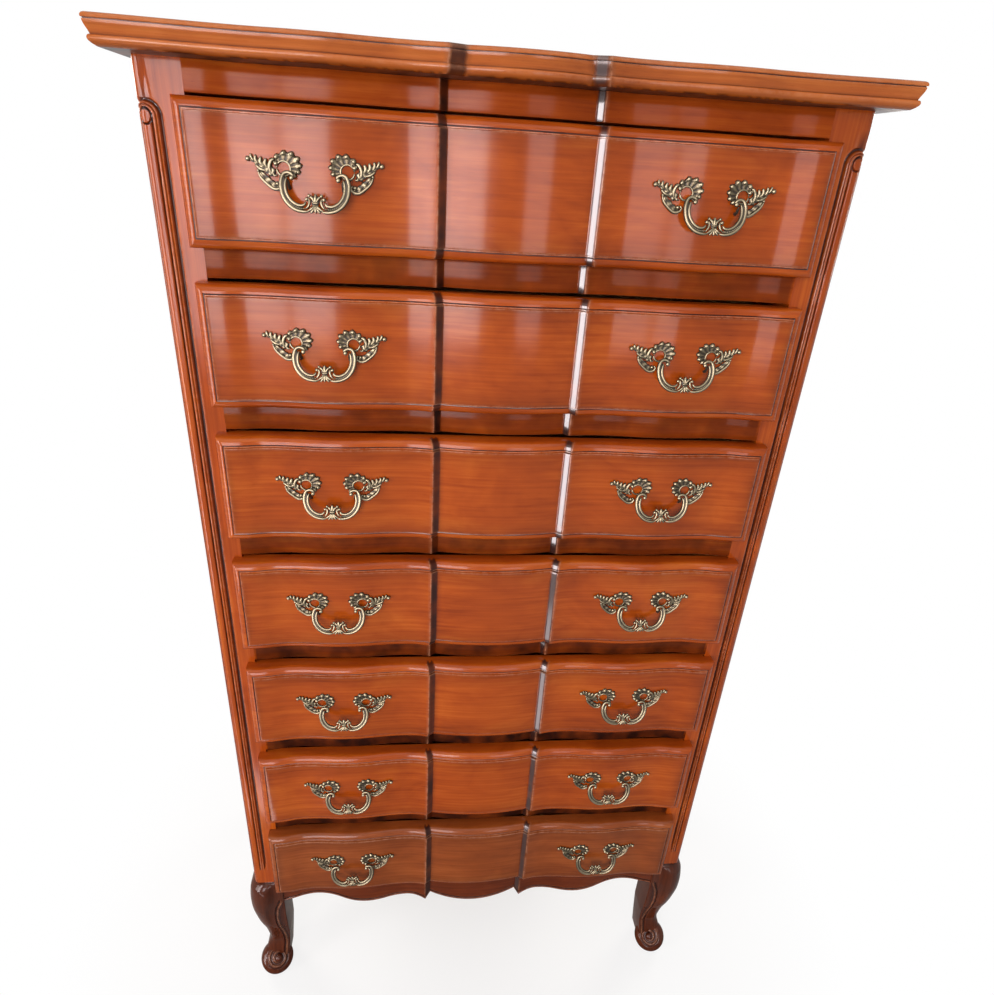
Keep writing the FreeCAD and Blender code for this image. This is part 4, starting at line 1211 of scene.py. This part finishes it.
    def scroll(self) -> list[Patch]:
        """Draw the foot: a short rounded drum whose ends carry a spiral and a round eye.

        Along the drum the radius falls with the fourth power of the distance from its middle. On an
        end the height is a ridge that follows radius plus turn, so it winds inwards, and a dome.

        Returns:
            The drum and its two ends.
        """
        turn = np.linspace(0, 2 * math.pi, 73)
        span = np.linspace(-1, 1, 21)
        radius = self.scroll_radius * (1 - 0.30 * span ** 4)
        patches = [Patch(self.polar(radius[:, None], turn[None, :], span[:, None] * self.scroll_half))]
        for end in (-1, 1):
            r = np.linspace(radius[0], 0, 34)[:, None]
            swirl = r + self.coil * turn[None, :] / (2 * math.pi)
            ridge = 0.5 + 0.5 * np.cos(2 * math.pi * (swirl - radius[0]) / self.coil)
            body = np.clip((radius[0] - r) / 2.0, 0, 1) * np.clip((r - 6.6) / 1.5, 0, 1)
            eye = 4.2 * np.sqrt(np.clip(1 - (r / self.eye) ** 2, 0, 1))
            dome = 5.0 * (1 - (r / radius[0]) ** 2)
            rise = (2.6 * ridge - 1.8) * body + eye + dome
            # painted shade with glazing in the spiral's groove and round the eye
            grime = np.clip((1 - ridge) * body * 0.9 + 0.9 * bump(r, 7.0, 1.4), 0, 1)
            face = self.polar(r, turn[None, :], end * (self.scroll_half + rise))
            patches.append(Patch(face, 0.35 * ridge * body, grime))
        return patches

    def polar(self, radius: np.ndarray, turn: np.ndarray, axial: np.ndarray) -> np.ndarray:
        """Turn places on the drum into points of the scene; none lies below the floor.

        Args:
            radius: distances from the drum's axis.
            turn: angles round it.
            axial: places along it from its middle, growing away from the way its open end looks.

        Returns:
            The points in millimetres.
        """
        aim = np.array(self.scroll_aim) / np.linalg.norm(self.scroll_aim)
        beside = np.cross(aim, (0.0, 0.0, 1.0))
        beside /= np.linalg.norm(beside)
        upward = np.cross(beside, aim)
        out, up, along = np.broadcast_arrays(radius * np.cos(turn), radius * np.sin(turn), -axial)
        points = (np.array(self.scroll_at) + out[..., None] * beside + up[..., None] * upward
                  + along[..., None] * aim)
        points[..., 2] = np.maximum(points[..., 2], 0.0)
        return points

    def build(self, finish: bpy.types.Material) -> None:
        """Make both legs, each a shank and a scroll in one piece.

        Args:
            finish: their finish.
        """
        patches = self.shank() + self.scroll()
        for side, node in ((Side.LEFT, "front_leg_left"), (Side.RIGHT, "front_leg_right")):
            place(make_mesh(node + "_carved", mirrored(patches, side)), "case", finish, [node])


# ---------------------------------------------------------------- cast brass


@dataclass(frozen=True)
class Stroke:
    """One modelled ridge of a casting: a line of (x, z), its half widths and its height."""

    line: tuple
    widths: tuple
    height: float
    base: float = 0.9
    tone: float = 0.92
    two_sided: bool = False

    def patch(self, steps: int = 7, sides: int = 10) -> Patch:
        """Carry the ridge's section, a half or whole ellipse, along its smooth line.

        Local coordinates are across, up and out of the plate. The section shrinks to nothing at
        both ends, and the wear mark is its height above the ground.

        Args:
            steps: sections to each span of the line.
            sides: points round a section.

        Returns:
            The ridge's surface.
        """
        count = steps * (len(self.line) - 1) + 1
        path = smooth_line(np.array(self.line), count)
        ahead = np.gradient(path, axis=0)
        ahead /= np.linalg.norm(ahead, axis=1)[:, None] + 1e-9
        beside = np.stack([-ahead[:, 1], ahead[:, 0]], axis=-1)
        at = np.linspace(0, 1, count)
        ends = np.sqrt(np.clip(1 - (2 * at - 1) ** 12, 0, 1))
        width = np.interp(at, np.linspace(0, 1, len(self.widths)), self.widths) * ends
        tall = self.height * (0.45 + 0.55 * width / max(self.widths)) * ends
        turn = np.linspace(0, 2 * math.pi, sides + 1)
        across = np.cos(turn)
        up = np.sin(turn) if self.two_sided else np.maximum(np.sin(turn), 0)
        points = np.empty((count, sides + 1, 3))
        points[..., :2] = path[:, None] + beside[:, None] * (width[:, None] * across)[..., None]
        points[..., 2] = self.base + tall[:, None] * up
        shine = self.tone * np.clip(np.abs(up), 0, 1)[None, :] * np.ones((count, 1))
        return Patch(points, shine)


def knob(x: float, z: float, radius: float, height: float, base: float = 0.9,
         two_sided: bool = False) -> Patch:
    """Draw a round boss.

    Args:
        x: place across the casting.
        z: place up the casting.
        radius: its radius.
        height: its height.
        base: how far out of the plate it starts.
        two_sided: whether it is a whole ellipsoid instead of half of one.

    Returns:
        The boss's surface.
    """
    around = np.linspace(0, 2 * math.pi, 15)
    rise = np.linspace(-math.pi / 2 if two_sided else 0, math.pi / 2, 9 if two_sided else 6)[:, None]
    ring = radius * np.cos(rise)
    points = np.stack([x + ring * np.cos(around), z + ring * np.sin(around),
                       base + height * np.sin(rise) + 0 * around], axis=-1)
    return Patch(points, np.clip(0.35 + np.abs(np.sin(rise)), 0, 1) + 0 * around)


def backed(points: np.ndarray, wear: np.ndarray, ground: float) -> list[Patch]:
    """Close a raised surface with walls from its border down to a flat ground.

    Args:
        points: the raised surface.
        wear: its wear marks.
        ground: height of the ground.

    Returns:
        The surface, its ground and the four walls.
    """
    under = points.copy()
    under[..., 2] = ground
    rims = [np.stack([points[row], under[row]]) for row in (0, -1)]
    rims += [np.stack([points[:, column], under[:, column]]) for column in (0, -1)]
    return [Patch(points, wear), Patch(under)] + [Patch(rim) for rim in rims]


def blade(line: Sequence, widths: Sequence[float], height: float, lobes: int) -> list[Patch]:
    """Return an acanthus leaf laid along a line.

    Across the leaf the surface is an arch with a raised rib; along it the outline swells and the
    surface dips once for each lobe, the dips slanting towards the tip.

    Args:
        line: points (x, z) from root to tip.
        widths: half widths along the line.
        height: height of the rib.
        lobes: number of lobes on each side.

    Returns:
        The leaf's closed surface as patches.
    """
    count = 5 * lobes + 1
    path = smooth_line(np.array(line), count)
    ahead = np.gradient(path, axis=0)
    ahead /= np.linalg.norm(ahead, axis=1)[:, None] + 1e-9
    beside = np.stack([-ahead[:, 1], ahead[:, 0]], axis=-1)
    at = np.linspace(0, 1, count)
    v = np.linspace(-1, 1, 13)
    wave = 0.5 + 0.5 * np.cos(2 * math.pi * (at * lobes - 0.5))
    half = np.interp(at, np.linspace(0, 1, len(widths)), widths) * (0.74 + 0.26 * wave)
    half = half * np.sqrt(np.clip(1 - (2 * at - 1) ** 10, 0.01, 1))
    slanted = 0.5 + 0.5 * np.cos(2 * math.pi * (at[:, None] * lobes - 0.5 - 0.42 * np.abs(v)[None, :]))
    arch = np.sqrt(np.clip(1 - v ** 4, 0, 1))[None, :] * (0.55 + 0.45 * np.abs(slanted))
    rib = 0.35 * bump(v, 0, 0.22)[None, :]
    points = np.empty((count, len(v), 3))
    points[..., :2] = path[:, None] + beside[:, None] * (half[:, None] * v[None, :])[..., None]
    points[..., 2] = 0.5 + height * (arch + rib) * np.sqrt(np.clip(1 - (2 * at - 1) ** 10, 0, 1))[:, None]
    shine = np.clip(0.15 + 0.85 * slanted ** 1.5 + rib, 0, 1) * np.ones_like(arch)
    return backed(points, shine, 0.2)


@dataclass
class Pulls:
    """The two pulls of each drawer: a rosette at each end and a swinging bail between them."""

    case: Case
    drop: float = 67.0                            # pivot line below the front's upper edge
    standoff: float = 8.5                         # pivot line ahead of the crown
    lift: float = 0.9
    turn: float = 3.4                             # degrees that a rosette turns to follow the swell
    tilt: float = 15.0                            # degrees that the resting bail stands forward
    crease: float = math.radians(60)
    ground: float = 0.25                          # wear of the low webs between the ridges
    eye: tuple = (32.0, 7.6)                      # X and Z of the shell's eye
    ring: float = 7.0                             # radius of the ring round it
    rim: float = 6.4                              # radius at which the shell begins
    curl: tuple = (0.80, 0.34, 0.5)               # where the shell curls over, and its two half widths
    # X, Z, distance out and radius along the arm that holds the bail
    arm: tuple = ((27.4, -10.2, -1.6, 2.2), (27.4, -9.6, 1.2, 1.8), (27.2, -7.4, 4.0, 1.5),
                  (27.0, -4.2, 6.3, 1.3), (27.0, -2.2, 7.6, 0.9))
    fan: tuple = ((30, 11.0), (57, 14.6), (92, 16.6), (122, 18.6), (147, 19.8), (169, 19.2), (190, 17.0),
                  (212, 14.0))                    # the shell's lobes: aim in degrees and reach from the eye

    def rosette(self) -> list[Patch]:
        """Draw one rosette: an eyed shell, a trailing leaf and the leaf beneath, ridge by ridge.

        Returns:
            The right rosette in local coordinates: across, up and out of the plate.
        """
        ex, ez = self.eye
        patches = self.shell()
        ring = np.radians(np.linspace(0, 360, 25))
        line = tuple((ex + self.ring * math.cos(t), ez + self.ring * math.sin(t)) for t in ring)
        patches.append(Stroke(line, (1.15,), 1.2).patch(steps=2, sides=12))
        patches += blade(((41.5, 1.0), (46.5, 5.6), (52.5, 9.0), (59.0, 12.4), (66.0, 15.4)),
                         (4.6, 5.4, 4.2, 3.0, 1.4), 1.5, 5)
        patches += blade(((57.5, 5.5), (52.5, -0.6), (47.0, -5.8), (41.6, -8.8), (37.0, -7.6)),
                         (1.6, 3.6, 4.2, 3.6, 2.0), 1.5, 4)
        leaf = [Stroke(((44.5, 1.5), (46.3, 8.5), (43.8, 14.4), (40.2, 16.0)), (1.2, 2.3, 2.2, 1.0), 2.6),
                Stroke(((48.0, 6.8), (50.4, 11.6), (48.8, 16.0)), (1.0, 2.5, 1.5), 2.4),
                Stroke(((52.4, 8.4), (55.0, 12.8), (54.0, 17.4)), (1.0, 2.4, 1.4), 2.3),
                Stroke(((57.0, 10.2), (59.6, 14.6), (59.2, 18.8)), (1.0, 2.2, 1.2), 2.2),
                Stroke(((61.0, 12.6), (63.6, 16.4), (64.0, 19.6)), (0.8, 1.9, 1.0), 2.1),
                Stroke(((49, 4.6), (55, 6.0), (60.5, 10.0)), (0.8, 1.9, 0.9), 2.0),
                Stroke(((58.4, 5.4), (55.4, -1.6), (49.5, -7.4), (43.0, -11.6), (37.4, -11.0), (35.0, -7.4),
                        (37.4, -4.8)), (0.8, 1.5, 1.8, 1.9, 1.7, 1.4, 1.0), 2.5),
                Stroke(((38.6, 1.0), (41.6, 0.8), (43.0, 3.4)), (0.7, 1.3, 0.8), 1.9)]
        patches += [stroke.patch() for stroke in leaf]
        patches += [knob(67.0, 14.8, 2.7, 3.2), knob(39.2, -6.7, 2.2, 2.8), knob(57.6, 4.6, 1.6, 2.2)]
        return patches

    def shell(self) -> list[Patch]:
        """Draw the scalloped shell as a height over angle and radius about the eye.

        A count along the angles is whole at each lobe, and the cosine of it makes flutes that meet
        the rim in rounded lobes. Along the radius the surface rises slowly from the eye and curls
        over near the rim.

        Returns:
            The shell and a knob at the tip of each lobe.
        """
        ex, ez = self.eye
        aims, reaches = np.array(self.fan, float).T
        count = np.linspace(-0.42, len(aims) - 0.58, 8 * len(aims) + 1)
        aim = np.radians(np.interp(count, np.arange(-1, len(aims) + 1),
                                   np.concatenate([[aims[0] - 25], aims, [aims[-1] + 22]])))
        lobe = 0.5 + 0.5 * np.cos(2 * math.pi * count)
        reach = np.interp(count, np.arange(len(aims)), reaches) - 2.2 + 2.8 * lobe ** 0.6
        s = np.linspace(0, 1, 15)[:, None]
        r = self.rim + (reach - self.rim) * s
        over, narrow, broad = self.curl
        curl = 1.1 + 0.6 * s + 1.4 * bump(s, over, narrow)
        tall = 0.4 + curl * (0.45 + 0.55 * lobe ** 0.6) * np.sqrt(np.clip(1 - s ** 10, 0, 1))
        points = np.stack([ex + r * np.cos(aim), ez + r * np.sin(aim), tall + 0 * r], axis=-1)
        shine = np.clip((0.2 + 0.8 * lobe ** 0.8) * (0.55 + 0.45 * bump(s, over, broad)) + 0.1 * s, 0, 1)
        tips = [knob(ex + (far - 2.4) * math.cos(math.radians(turn)),
                     ez + (far - 2.4) * math.sin(math.radians(turn)), 2.5, 2.9) for turn, far in self.fan]
        return backed(points, shine, 0.2) + tips

    def half_bail(self) -> list[Patch]:
        """Draw half of a bail: two ridges round a groove, scroll ends, a bead row and half its palmette.

        Returns:
            The right half in local coordinates, both sides of it modelled.
        """
        two = {"base": 0.0, "two_sided": True}
        strokes = [Stroke(((21.4, 0.4), (23.2, 3.2), (27.4, 4.6), (31.6, 2.6), (33.9, -4), (33.6, -12),
                           (31.2, -19.5), (26.4, -26), (19.6, -30.4), (12, -32), (6, -31.4)),
                          (1.4, 1.9, 1.9, 1.9, 2.1, 2.1, 2.1, 2.0, 1.9, 1.7, 1.2), 2.2, **two),
                   Stroke(((27.8, 0.5), (29.4, -4), (29.7, -10), (27.9, -16.5), (23.4, -22.6), (17.2, -26),
                           (11.8, -25.6), (9.2, -22.2)),
                          (1.0, 1.5, 1.7, 1.7, 1.7, 1.7, 1.5, 1.3), 2.0, **two),
                   Stroke(((30.4, 1.5), (31.7, -4), (31.6, -11.5), (29.4, -18.4), (24.8, -24.4),
                           (18.2, -28.4), (11, -29)),
                          (1.2, 2.2, 2.4, 2.4, 2.4, 2.2, 1.6), 1.2, tone=self.ground, **two),
                   Stroke(((9.6, -29.2), (7.0, -26.2), (5.8, -22.0), (7.0, -18.6)), (0.8, 1.5, 1.5, 1.0), 1.9,
                          **two),
                   Stroke(((0.9, -23), (2.6, -19.4), (5.6, -16.8)), (0.9, 1.6, 1.3), 1.9, **two),
                   Stroke(((0.6, -25.6), (3.8, -28.6), (8.4, -31.6)), (1.0, 1.7, 0.6), 1.8, **two),
                   Stroke(((0.4, -26.4), (2.6, -30.4), (5.2, -33.4)), (1.0, 1.6, 0.6), 1.9, **two)]
        patches = [stroke.patch(sides=12) for stroke in strokes]
        patches += [knob(23.3, -0.2, 2.5, 2.3, 0.0, True), knob(8.6, -19.8, 2.1, 2.2, 0.0, True),
                    knob(6.2, -16.4, 1.8, 2.0, 0.0, True)]
        rope = smooth_line(np.array(((27.6, -22.4), (22.4, -26.6), (16.0, -29.0), (10.0, -29.2))), 11)
        patches += [knob(x, z, 0.95, 2.0, 0.0, True) for x, z in rope]
        return patches

    def bail_middle(self) -> list[Patch]:
        """Draw what stands on a bail's middle line: the upright lobe, the bands and the hanging leaf.

        Returns:
            The middle in local coordinates, both sides of it modelled.
        """
        two = {"base": 0.0, "two_sided": True}
        strokes = [Stroke(((0, -23.5), (0, -18.5), (0, -14.4)), (1.2, 2.0, 1.2), 2.1, **two),
                   Stroke(((-3.4, -23.2), (0, -23.6), (3.4, -23.2)), (0.9, 1.2, 0.9), 2.3, **two),
                   Stroke(((-3.0, -25.4), (0, -25.8), (3.0, -25.4)), (0.8, 1.0, 0.8), 2.2, **two),
                   Stroke(((0, -25.5), (0, -29.8), (0, -33.6)), (1.3, 1.7, 0.7), 2.1, **two),
                   Stroke(((-7, -30.6), (0, -29.6), (7, -30.6)), (1.4, 2.6, 1.4), 1.1, tone=self.ground,
                          **two),
                   Stroke(((0, -27.5), (0, -21), (0, -16)), (2.6, 4.4, 3.0), 1.0, tone=self.ground, **two)]
        return [stroke.patch(sides=12) for stroke in strokes]

    def heads(self) -> list[Patch]:
        """Draw the arm that holds the bail: a tapered round bar, bent up from the plate to the pivot.

        It comes from below and behind, the one quarter that the bail never sweeps. Each row is a
        circle of its own radius about a point of the arm's smooth middle line.

        Returns:
            The right arm in local coordinates.
        """
        rows = smooth_line(np.array(self.arm), 13)
        around = np.linspace(0, 2 * math.pi, 13)
        ahead = np.gradient(rows[:, 1:3], axis=0)
        ahead /= np.linalg.norm(ahead, axis=1)[:, None]
        points = np.empty((len(rows), len(around), 3))
        points[..., 0] = rows[:, :1] + rows[:, 3:] * np.cos(around)
        points[..., 1:] = rows[:, None, 1:3] + (rows[:, 3:] * np.sin(around))[..., None] * np.stack(
            [-ahead[:, 1], ahead[:, 0]], axis=-1)[:, None]
        return [Patch(points, 0.3), fan(points[0]), fan(points[-1])]

    def spot(self, number: int) -> tuple[float, float, float]:
        """Find where a drawer's pulls sit.

        Args:
            number: the drawer's number.

        Returns:
            X and Y of the swell's crown, and the height of the pivot line.
        """
        plan = self.case.plan
        head = self.case.edge(f"drawer_{number}_front", 2)
        return plan.crown_at, self.case.front + plan.crown, head - self.drop

    def seated(self, patches: Sequence[Patch], across: float, number: int) -> list[Patch]:
        """Turn rosette patches to the swell and move them to a drawer.

        Args:
            patches: one rosette in local coordinates.
            across: 1 for the rosette as drawn, -1 for its mirror image.
            number: the drawer's number.

        Returns:
            The patches of the right pull, in the scene's millimetres.
        """
        x, y, z = self.spot(number)
        slope = math.radians(self.turn)
        made = []
        for patch in patches:
            local = patch.points
            out = local[..., 2]
            moved = np.stack([x + across * (local[..., 0] * math.cos(slope) + out * math.sin(slope)),
                              y - self.lift + local[..., 0] * math.sin(slope) - out * math.cos(slope),
                              z + local[..., 1]], axis=-1)
            made.append(Patch(moved, patch.wear))
        return made

    def hung(self, patches: Sequence[Patch], across: float, number: int) -> list[Patch]:
        """Tilt bail patches forward about the pivot line and move them to a drawer.

        Args:
            patches: part of a bail in local coordinates.
            across: 1 for the part as drawn, -1 for its mirror image.
            number: the drawer's number.

        Returns:
            The patches of the right bail, in the scene's millimetres.
        """
        x, y, z = self.spot(number)
        lean = math.radians(self.tilt)
        level, rise = math.cos(lean), math.sin(lean)
        made = []
        for patch in patches:
            local = patch.points
            moved = np.stack([x + across * local[..., 0],
                              y - self.standoff + local[..., 1] * rise - local[..., 2] * level,
                              z + local[..., 1] * level + local[..., 2] * rise], axis=-1)
            made.append(Patch(moved, patch.wear))
        return made

    def build(self, finish: bpy.types.Material) -> None:
        """Make the rosettes of every drawer as one piece each, and every bail as its own.

        Args:
            finish: their finish.
        """
        rosette = self.rosette() + self.heads()
        half, middle = self.half_bail(), self.bail_middle()
        pair = self.seated(rosette, 1, 1) + self.seated(rosette, -1, 1)
        both = mirrored(pair, Side.RIGHT) + mirrored(pair, Side.LEFT)
        first = {"pulls": make_mesh("drawer_1_pulls_cast", both, self.crease)}
        bail = self.hung(half, 1, 1) + self.hung(half, -1, 1) + self.hung(middle, 1, 1)
        for side in Side:
            part = f"bail_{side.name.lower()}"
            first[part] = make_mesh(f"drawer_1_{part}_cast", mirrored(bail, side), self.crease)
        for number in DRAWERS:
            drop = self.spot(1)[2] - self.spot(number)[2]
            for part, thing in first.items():
                node = f"drawer_{number}_{part}"
                body = f"drawer_{number}" if part == "pulls" else node
                piece = thing if number == 1 else lowered(thing, node + "_cast", drop)
                place(piece, body, finish, [node])


# ---------------------------------------------------------------- plain CAD pieces, stage and camera


@dataclass
class PlainPieces:
    """CAD nodes whose shape is right, each with the finish of its place."""

    upright: Sequence[str] = ("side_panel_left", "side_panel_right", "rear_posts", "rear_leg_left",
                              "rear_leg_right")
    lining: Sequence[str] = ("rear_rails", "drawer_runners", "corner_blocks", "dust_bottom")
    back: Sequence[str] = ("back_panel",)

    def dress(self, lacquer: bpy.types.Material, wood: bpy.types.Material, board: bpy.types.Material) -> None:
        """Give every CAD node that still shows its finish.

        Args:
            lacquer: the finish of the sides, posts and legs.
            wood: the finish of the inside and the drawer boxes.
            board: the finish of the back.
        """
        drawers = [f"drawer_{number}_{kind}" for number in DRAWERS for kind in ("box", "bottom")]
        for names, finish in ((self.upright, lacquer), (list(self.lining) + drawers, wood),
                              (self.back, board)):
            for name in names:
                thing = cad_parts[name]
                thing.data.materials.clear()
                thing.data.materials.append(finish)


@dataclass
class Lamp:
    """A soft rectangular light, aimed at a point of the chest; lengths in metres."""

    name: str
    at: tuple
    aim: tuple
    size: tuple
    power: float
    colour: tuple = (1.0, 1.0, 1.0)
    mirrored_only: bool = False                   # seen in gloss, but adding no light of its own

    def make(self) -> None:
        """Add the light; the camera never sees it directly."""
        data = bpy.data.lights.new(self.name, "AREA")
        data.shape = "RECTANGLE"
        data.size, data.size_y = self.size
        data.energy = self.power
        data.color = self.colour
        lamp = bpy.data.objects.new(self.name, data)
        lamp.location = self.at
        lamp.rotation_mode = "QUATERNION"
        lamp.rotation_quaternion = (Vector(self.aim) - Vector(self.at)).to_track_quat("-Z", "Y")
        lamp.visible_camera = False
        lamp.visible_diffuse = not self.mirrored_only
        bpy.context.scene.collection.objects.link(lamp)


@dataclass
class Stage:
    """Floor, world and lamps of a plain pale studio."""

    floor_half: float = 12.0
    floor_paint: float = 0.86                     # as seen
    floor_bounce: float = 0.34                    # as it lights the chest
    world_light: float = 0.17
    whitening: tuple = ((-1.2, 0.5), (0.35, 0.8))   # start in metres and slope, as seen and as mirrored

    def build(self) -> None:
        """Make the floor, the world and the lamps."""
        mesh = bpy.data.meshes.new("floor")
        h = self.floor_half
        mesh.from_pydata([(-h, -h, 0), (h, -h, 0), (h, h, 0), (-h, h, 0)], [], [(0, 1, 2, 3)])
        floor = bpy.data.objects.new("floor", mesh)
        bpy.context.scene.collection.objects.link(floor)
        mesh.materials.append(self.floor_finish())
        world = bpy.data.worlds.new("studio")
        bpy.context.scene.world = world
        world.use_nodes = True
        sky = Nodes(world.node_tree)
        seen = sky.math("ADD", *self.rays(sky), clamp=True)
        strength = sky.math("ADD", sky.math("MULTIPLY", seen, 1.0 - self.world_light), self.world_light)
        light = sky.add("Background", {"Color": (1, 1, 1, 1), "Strength": strength})
        sky.add("OutputWorld", {"Surface": light.outputs[0]})
        pink, cream = (1.0, 0.90, 0.92), (1.0, 0.94, 0.86)
        window = ((-0.95, -3.5, 1.55), (-0.1, 0, 1.1), (1.15, 2.3))
        for lamp in (Lamp("window_behind", *window, 70, pink),
                     Lamp("window_glass", *window, 285, pink, True),
                     Lamp("window_far", (0.85, -3.6, 1.5), (0.1, 0, 1.1), (0.62, 2.2), 24, pink, True),
                     Lamp("window_left", (-3.0, -1.68, 1.3), (0, 0, 1.0), (0.9, 2.2), 60, (1.0, 0.93, 0.90)),
                     Lamp("door_left", (-1.323, -1.169, 1.02), (0.083, -0.215, 1.02), (0.36, 2.0), 40, pink,
                          True),
                     Lamp("step_left", (-0.517, -0.622, 0.012), (-0.434, -0.566, 1.0), (0.08, 0.85), 1.3,
                          pink, True),
                     Lamp("ceiling", (0.1, -1.6, 3.4), (0, 0, 0.9), (2.6, 2.2), 28, cream),
                     Lamp("behind_left", (-3.0, 2.6, 1.9), (0, 0.1, 0.8), (1.6, 2.2), 105, cream),
                     Lamp("behind_right", (3.0, 2.6, 1.9), (0, 0.1, 0.8), (1.6, 2.2), 105, cream)):
            lamp.make()

    def rays(self, nodes: Nodes) -> tuple[bpy.types.NodeSocket, bpy.types.NodeSocket]:
        """Mark the rays that find a white background.

        Args:
            nodes: the helper on the tree that asks.

        Returns:
            1 for rays from the camera, and 1 for mirrored rays and those let through.
        """
        path = nodes.add("LightPath").outputs
        mirrored_rays = nodes.math("ADD", path["Is Glossy Ray"], path["Is Transmission Ray"], clamp=True)
        return path["Is Camera Ray"], mirrored_rays

    def floor_finish(self) -> bpy.types.Material:
        """Build the floor's material: painted near the chest, so that its shadow shows, white far off.

        Returns:
            The new material.
        """
        material = bpy.data.materials.new("studio_floor")
        material.use_nodes = True
        nodes = Nodes(material.node_tree)
        seen, mirrored_rays = self.rays(nodes)
        pale = nodes.math("ADD", nodes.math("MULTIPLY", seen, self.floor_paint - self.floor_bounce),
                          self.floor_bounce)
        grey = nodes.add("CombineColor", {0: pale, 1: pale, 2: pale}).outputs[0]
        paint = nodes.add("BsdfDiffuse", {"Color": grey})
        glow = nodes.add("Emission", {"Color": (1, 1, 1, 1), "Strength": 1.0})
        where = nodes.add("TexCoord").outputs["Object"]
        away = nodes.add("VectorMath", {0: where}, operation="LENGTH").outputs["Value"]
        shares = []
        for ray, (start, slope) in zip((seen, mirrored_rays), self.whitening):
            white = nodes.math("MULTIPLY", nodes.math("SUBTRACT", away, start), slope, clamp=True)
            shares.append(nodes.math("MULTIPLY", ray, white))
        blend = nodes.add("MixShader", {0: nodes.math("ADD", *shares), 1: paint.outputs[0],
                                        2: glow.outputs[0]})
        nodes.add("OutputMaterial", {"Surface": blend.outputs[0]})
        return material


@dataclass
class Eye:
    """The camera: its place in metres, its axes and its focal length and centre in picture pixels."""

    at: tuple = (-0.0995, -1.0063, 1.4059)
    right: tuple = (0.9942, -0.0908, 0.0576)
    down: tuple = (0.0112, -0.4457, -0.8951)
    forward: tuple = (0.1070, 0.8906, -0.4421)
    focal: float = 682.2
    centre: tuple = (496.5, 504.0)
    picture: tuple = (994, 995)
    sensor: float = 36.0                          # width in millimetres
    nearest: float = 0.05                         # metres in front of it that still show

    def make(self) -> None:
        """Add the camera and make it the scene's."""
        data = bpy.data.cameras.new("eye")
        longest = max(self.picture)
        data.sensor_width = self.sensor
        data.lens = self.focal * self.sensor / longest
        data.shift_x = (self.picture[0] / 2 - self.centre[0]) / longest
        data.shift_y = (self.centre[1] - self.picture[1] / 2) / longest
        data.clip_start = self.nearest
        camera = bpy.data.objects.new("eye", data)
        right, down, forward = (Vector(v).normalized() for v in (self.right, self.down, self.forward))
        turn = Matrix((right, -down, -forward)).transposed()
        camera.matrix_world = Matrix.Translation(self.at) @ turn.to_4x4()
        bpy.context.scene.collection.objects.link(camera)
        bpy.context.scene.camera = camera


def main() -> None:
    """Build the stage, the finishes and every sub-assembly in order."""
    logging.basicConfig(level=logging.INFO)
    bpy.context.scene.view_settings.view_transform = "Standard"
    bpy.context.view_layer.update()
    Eye().make()
    Stage().build()
    groups = {"cherry_figure": CherryFigure().group(), "edge_wear_shade_glazing": EdgeWearShadeGlazing().group()}
    cherry = Lacquer().material(groups)
    plain = {"grain": Grain.UPRIGHT, "figure": 0.05}
    upright = Lacquer("lacquered_cherry_upright", **plain).material(groups)
    sides = Lacquer("lacquered_cherry_sides", **plain, gloss=0.08).material(groups)
    # a darker copy of the lacquer for the front legs: painted shade
    carved = Lacquer("lacquered_cherry_legs_shaded", **plain, dark=(0.030, 0.007, 0.003),
                     middle=(0.082, 0.018, 0.006), light=(0.17, 0.038, 0.011)).material(groups)
    # a darker copy of the lacquer for the apron: painted shade
    shaded = Lacquer("lacquered_cherry_apron_shaded", dark=(0.05, 0.009, 0.003), middle=(0.14, 0.025, 0.005),
                     light=(0.26, 0.055, 0.010)).material(groups)
    # a lighter copy of the lacquer for the top: painted light
    pale = Lacquer("lacquered_cherry_top_lit", dark=(0.21, 0.036, 0.006), middle=(0.45, 0.118, 0.021),
                   light=(0.64, 0.220, 0.052)).material(groups)
    # the rails' lacquer: less gloss, and a darker colour for their painted shade
    satin_shaded = Lacquer("lacquered_cherry_rails_shaded", gloss=0.06, glaze=(0.018, 0.004, 0.002)).material(groups)
    # a darker copy of the lacquer for the lowest drawer: painted shade
    low = Lacquer("lacquered_cherry_low_shaded", dark=(0.11, 0.020, 0.004), middle=(0.27, 0.062, 0.012),
                  light=(0.43, 0.125, 0.030)).material(groups)
    lining = PlainWood().material(groups)
    board = PlainWood("back_board", **plain, dark=(0.26, 0.115, 0.042),
                      light=(0.50, 0.265, 0.105)).material(groups)
    brass = Brass().material()
    case = Case()
    DrawerFronts(case).build(cherry, low)
    Rails(case).build(satin_shaded)
    Apron(case).build(shaded)
    Top(case).build(pale)
    Posts(case).build(upright)
    FrontLegs(case).build(carved)
    Pulls(case).build(brass)
    PlainPieces().dress(sides, lining, board)


if __name__ == "__main__":
    main()
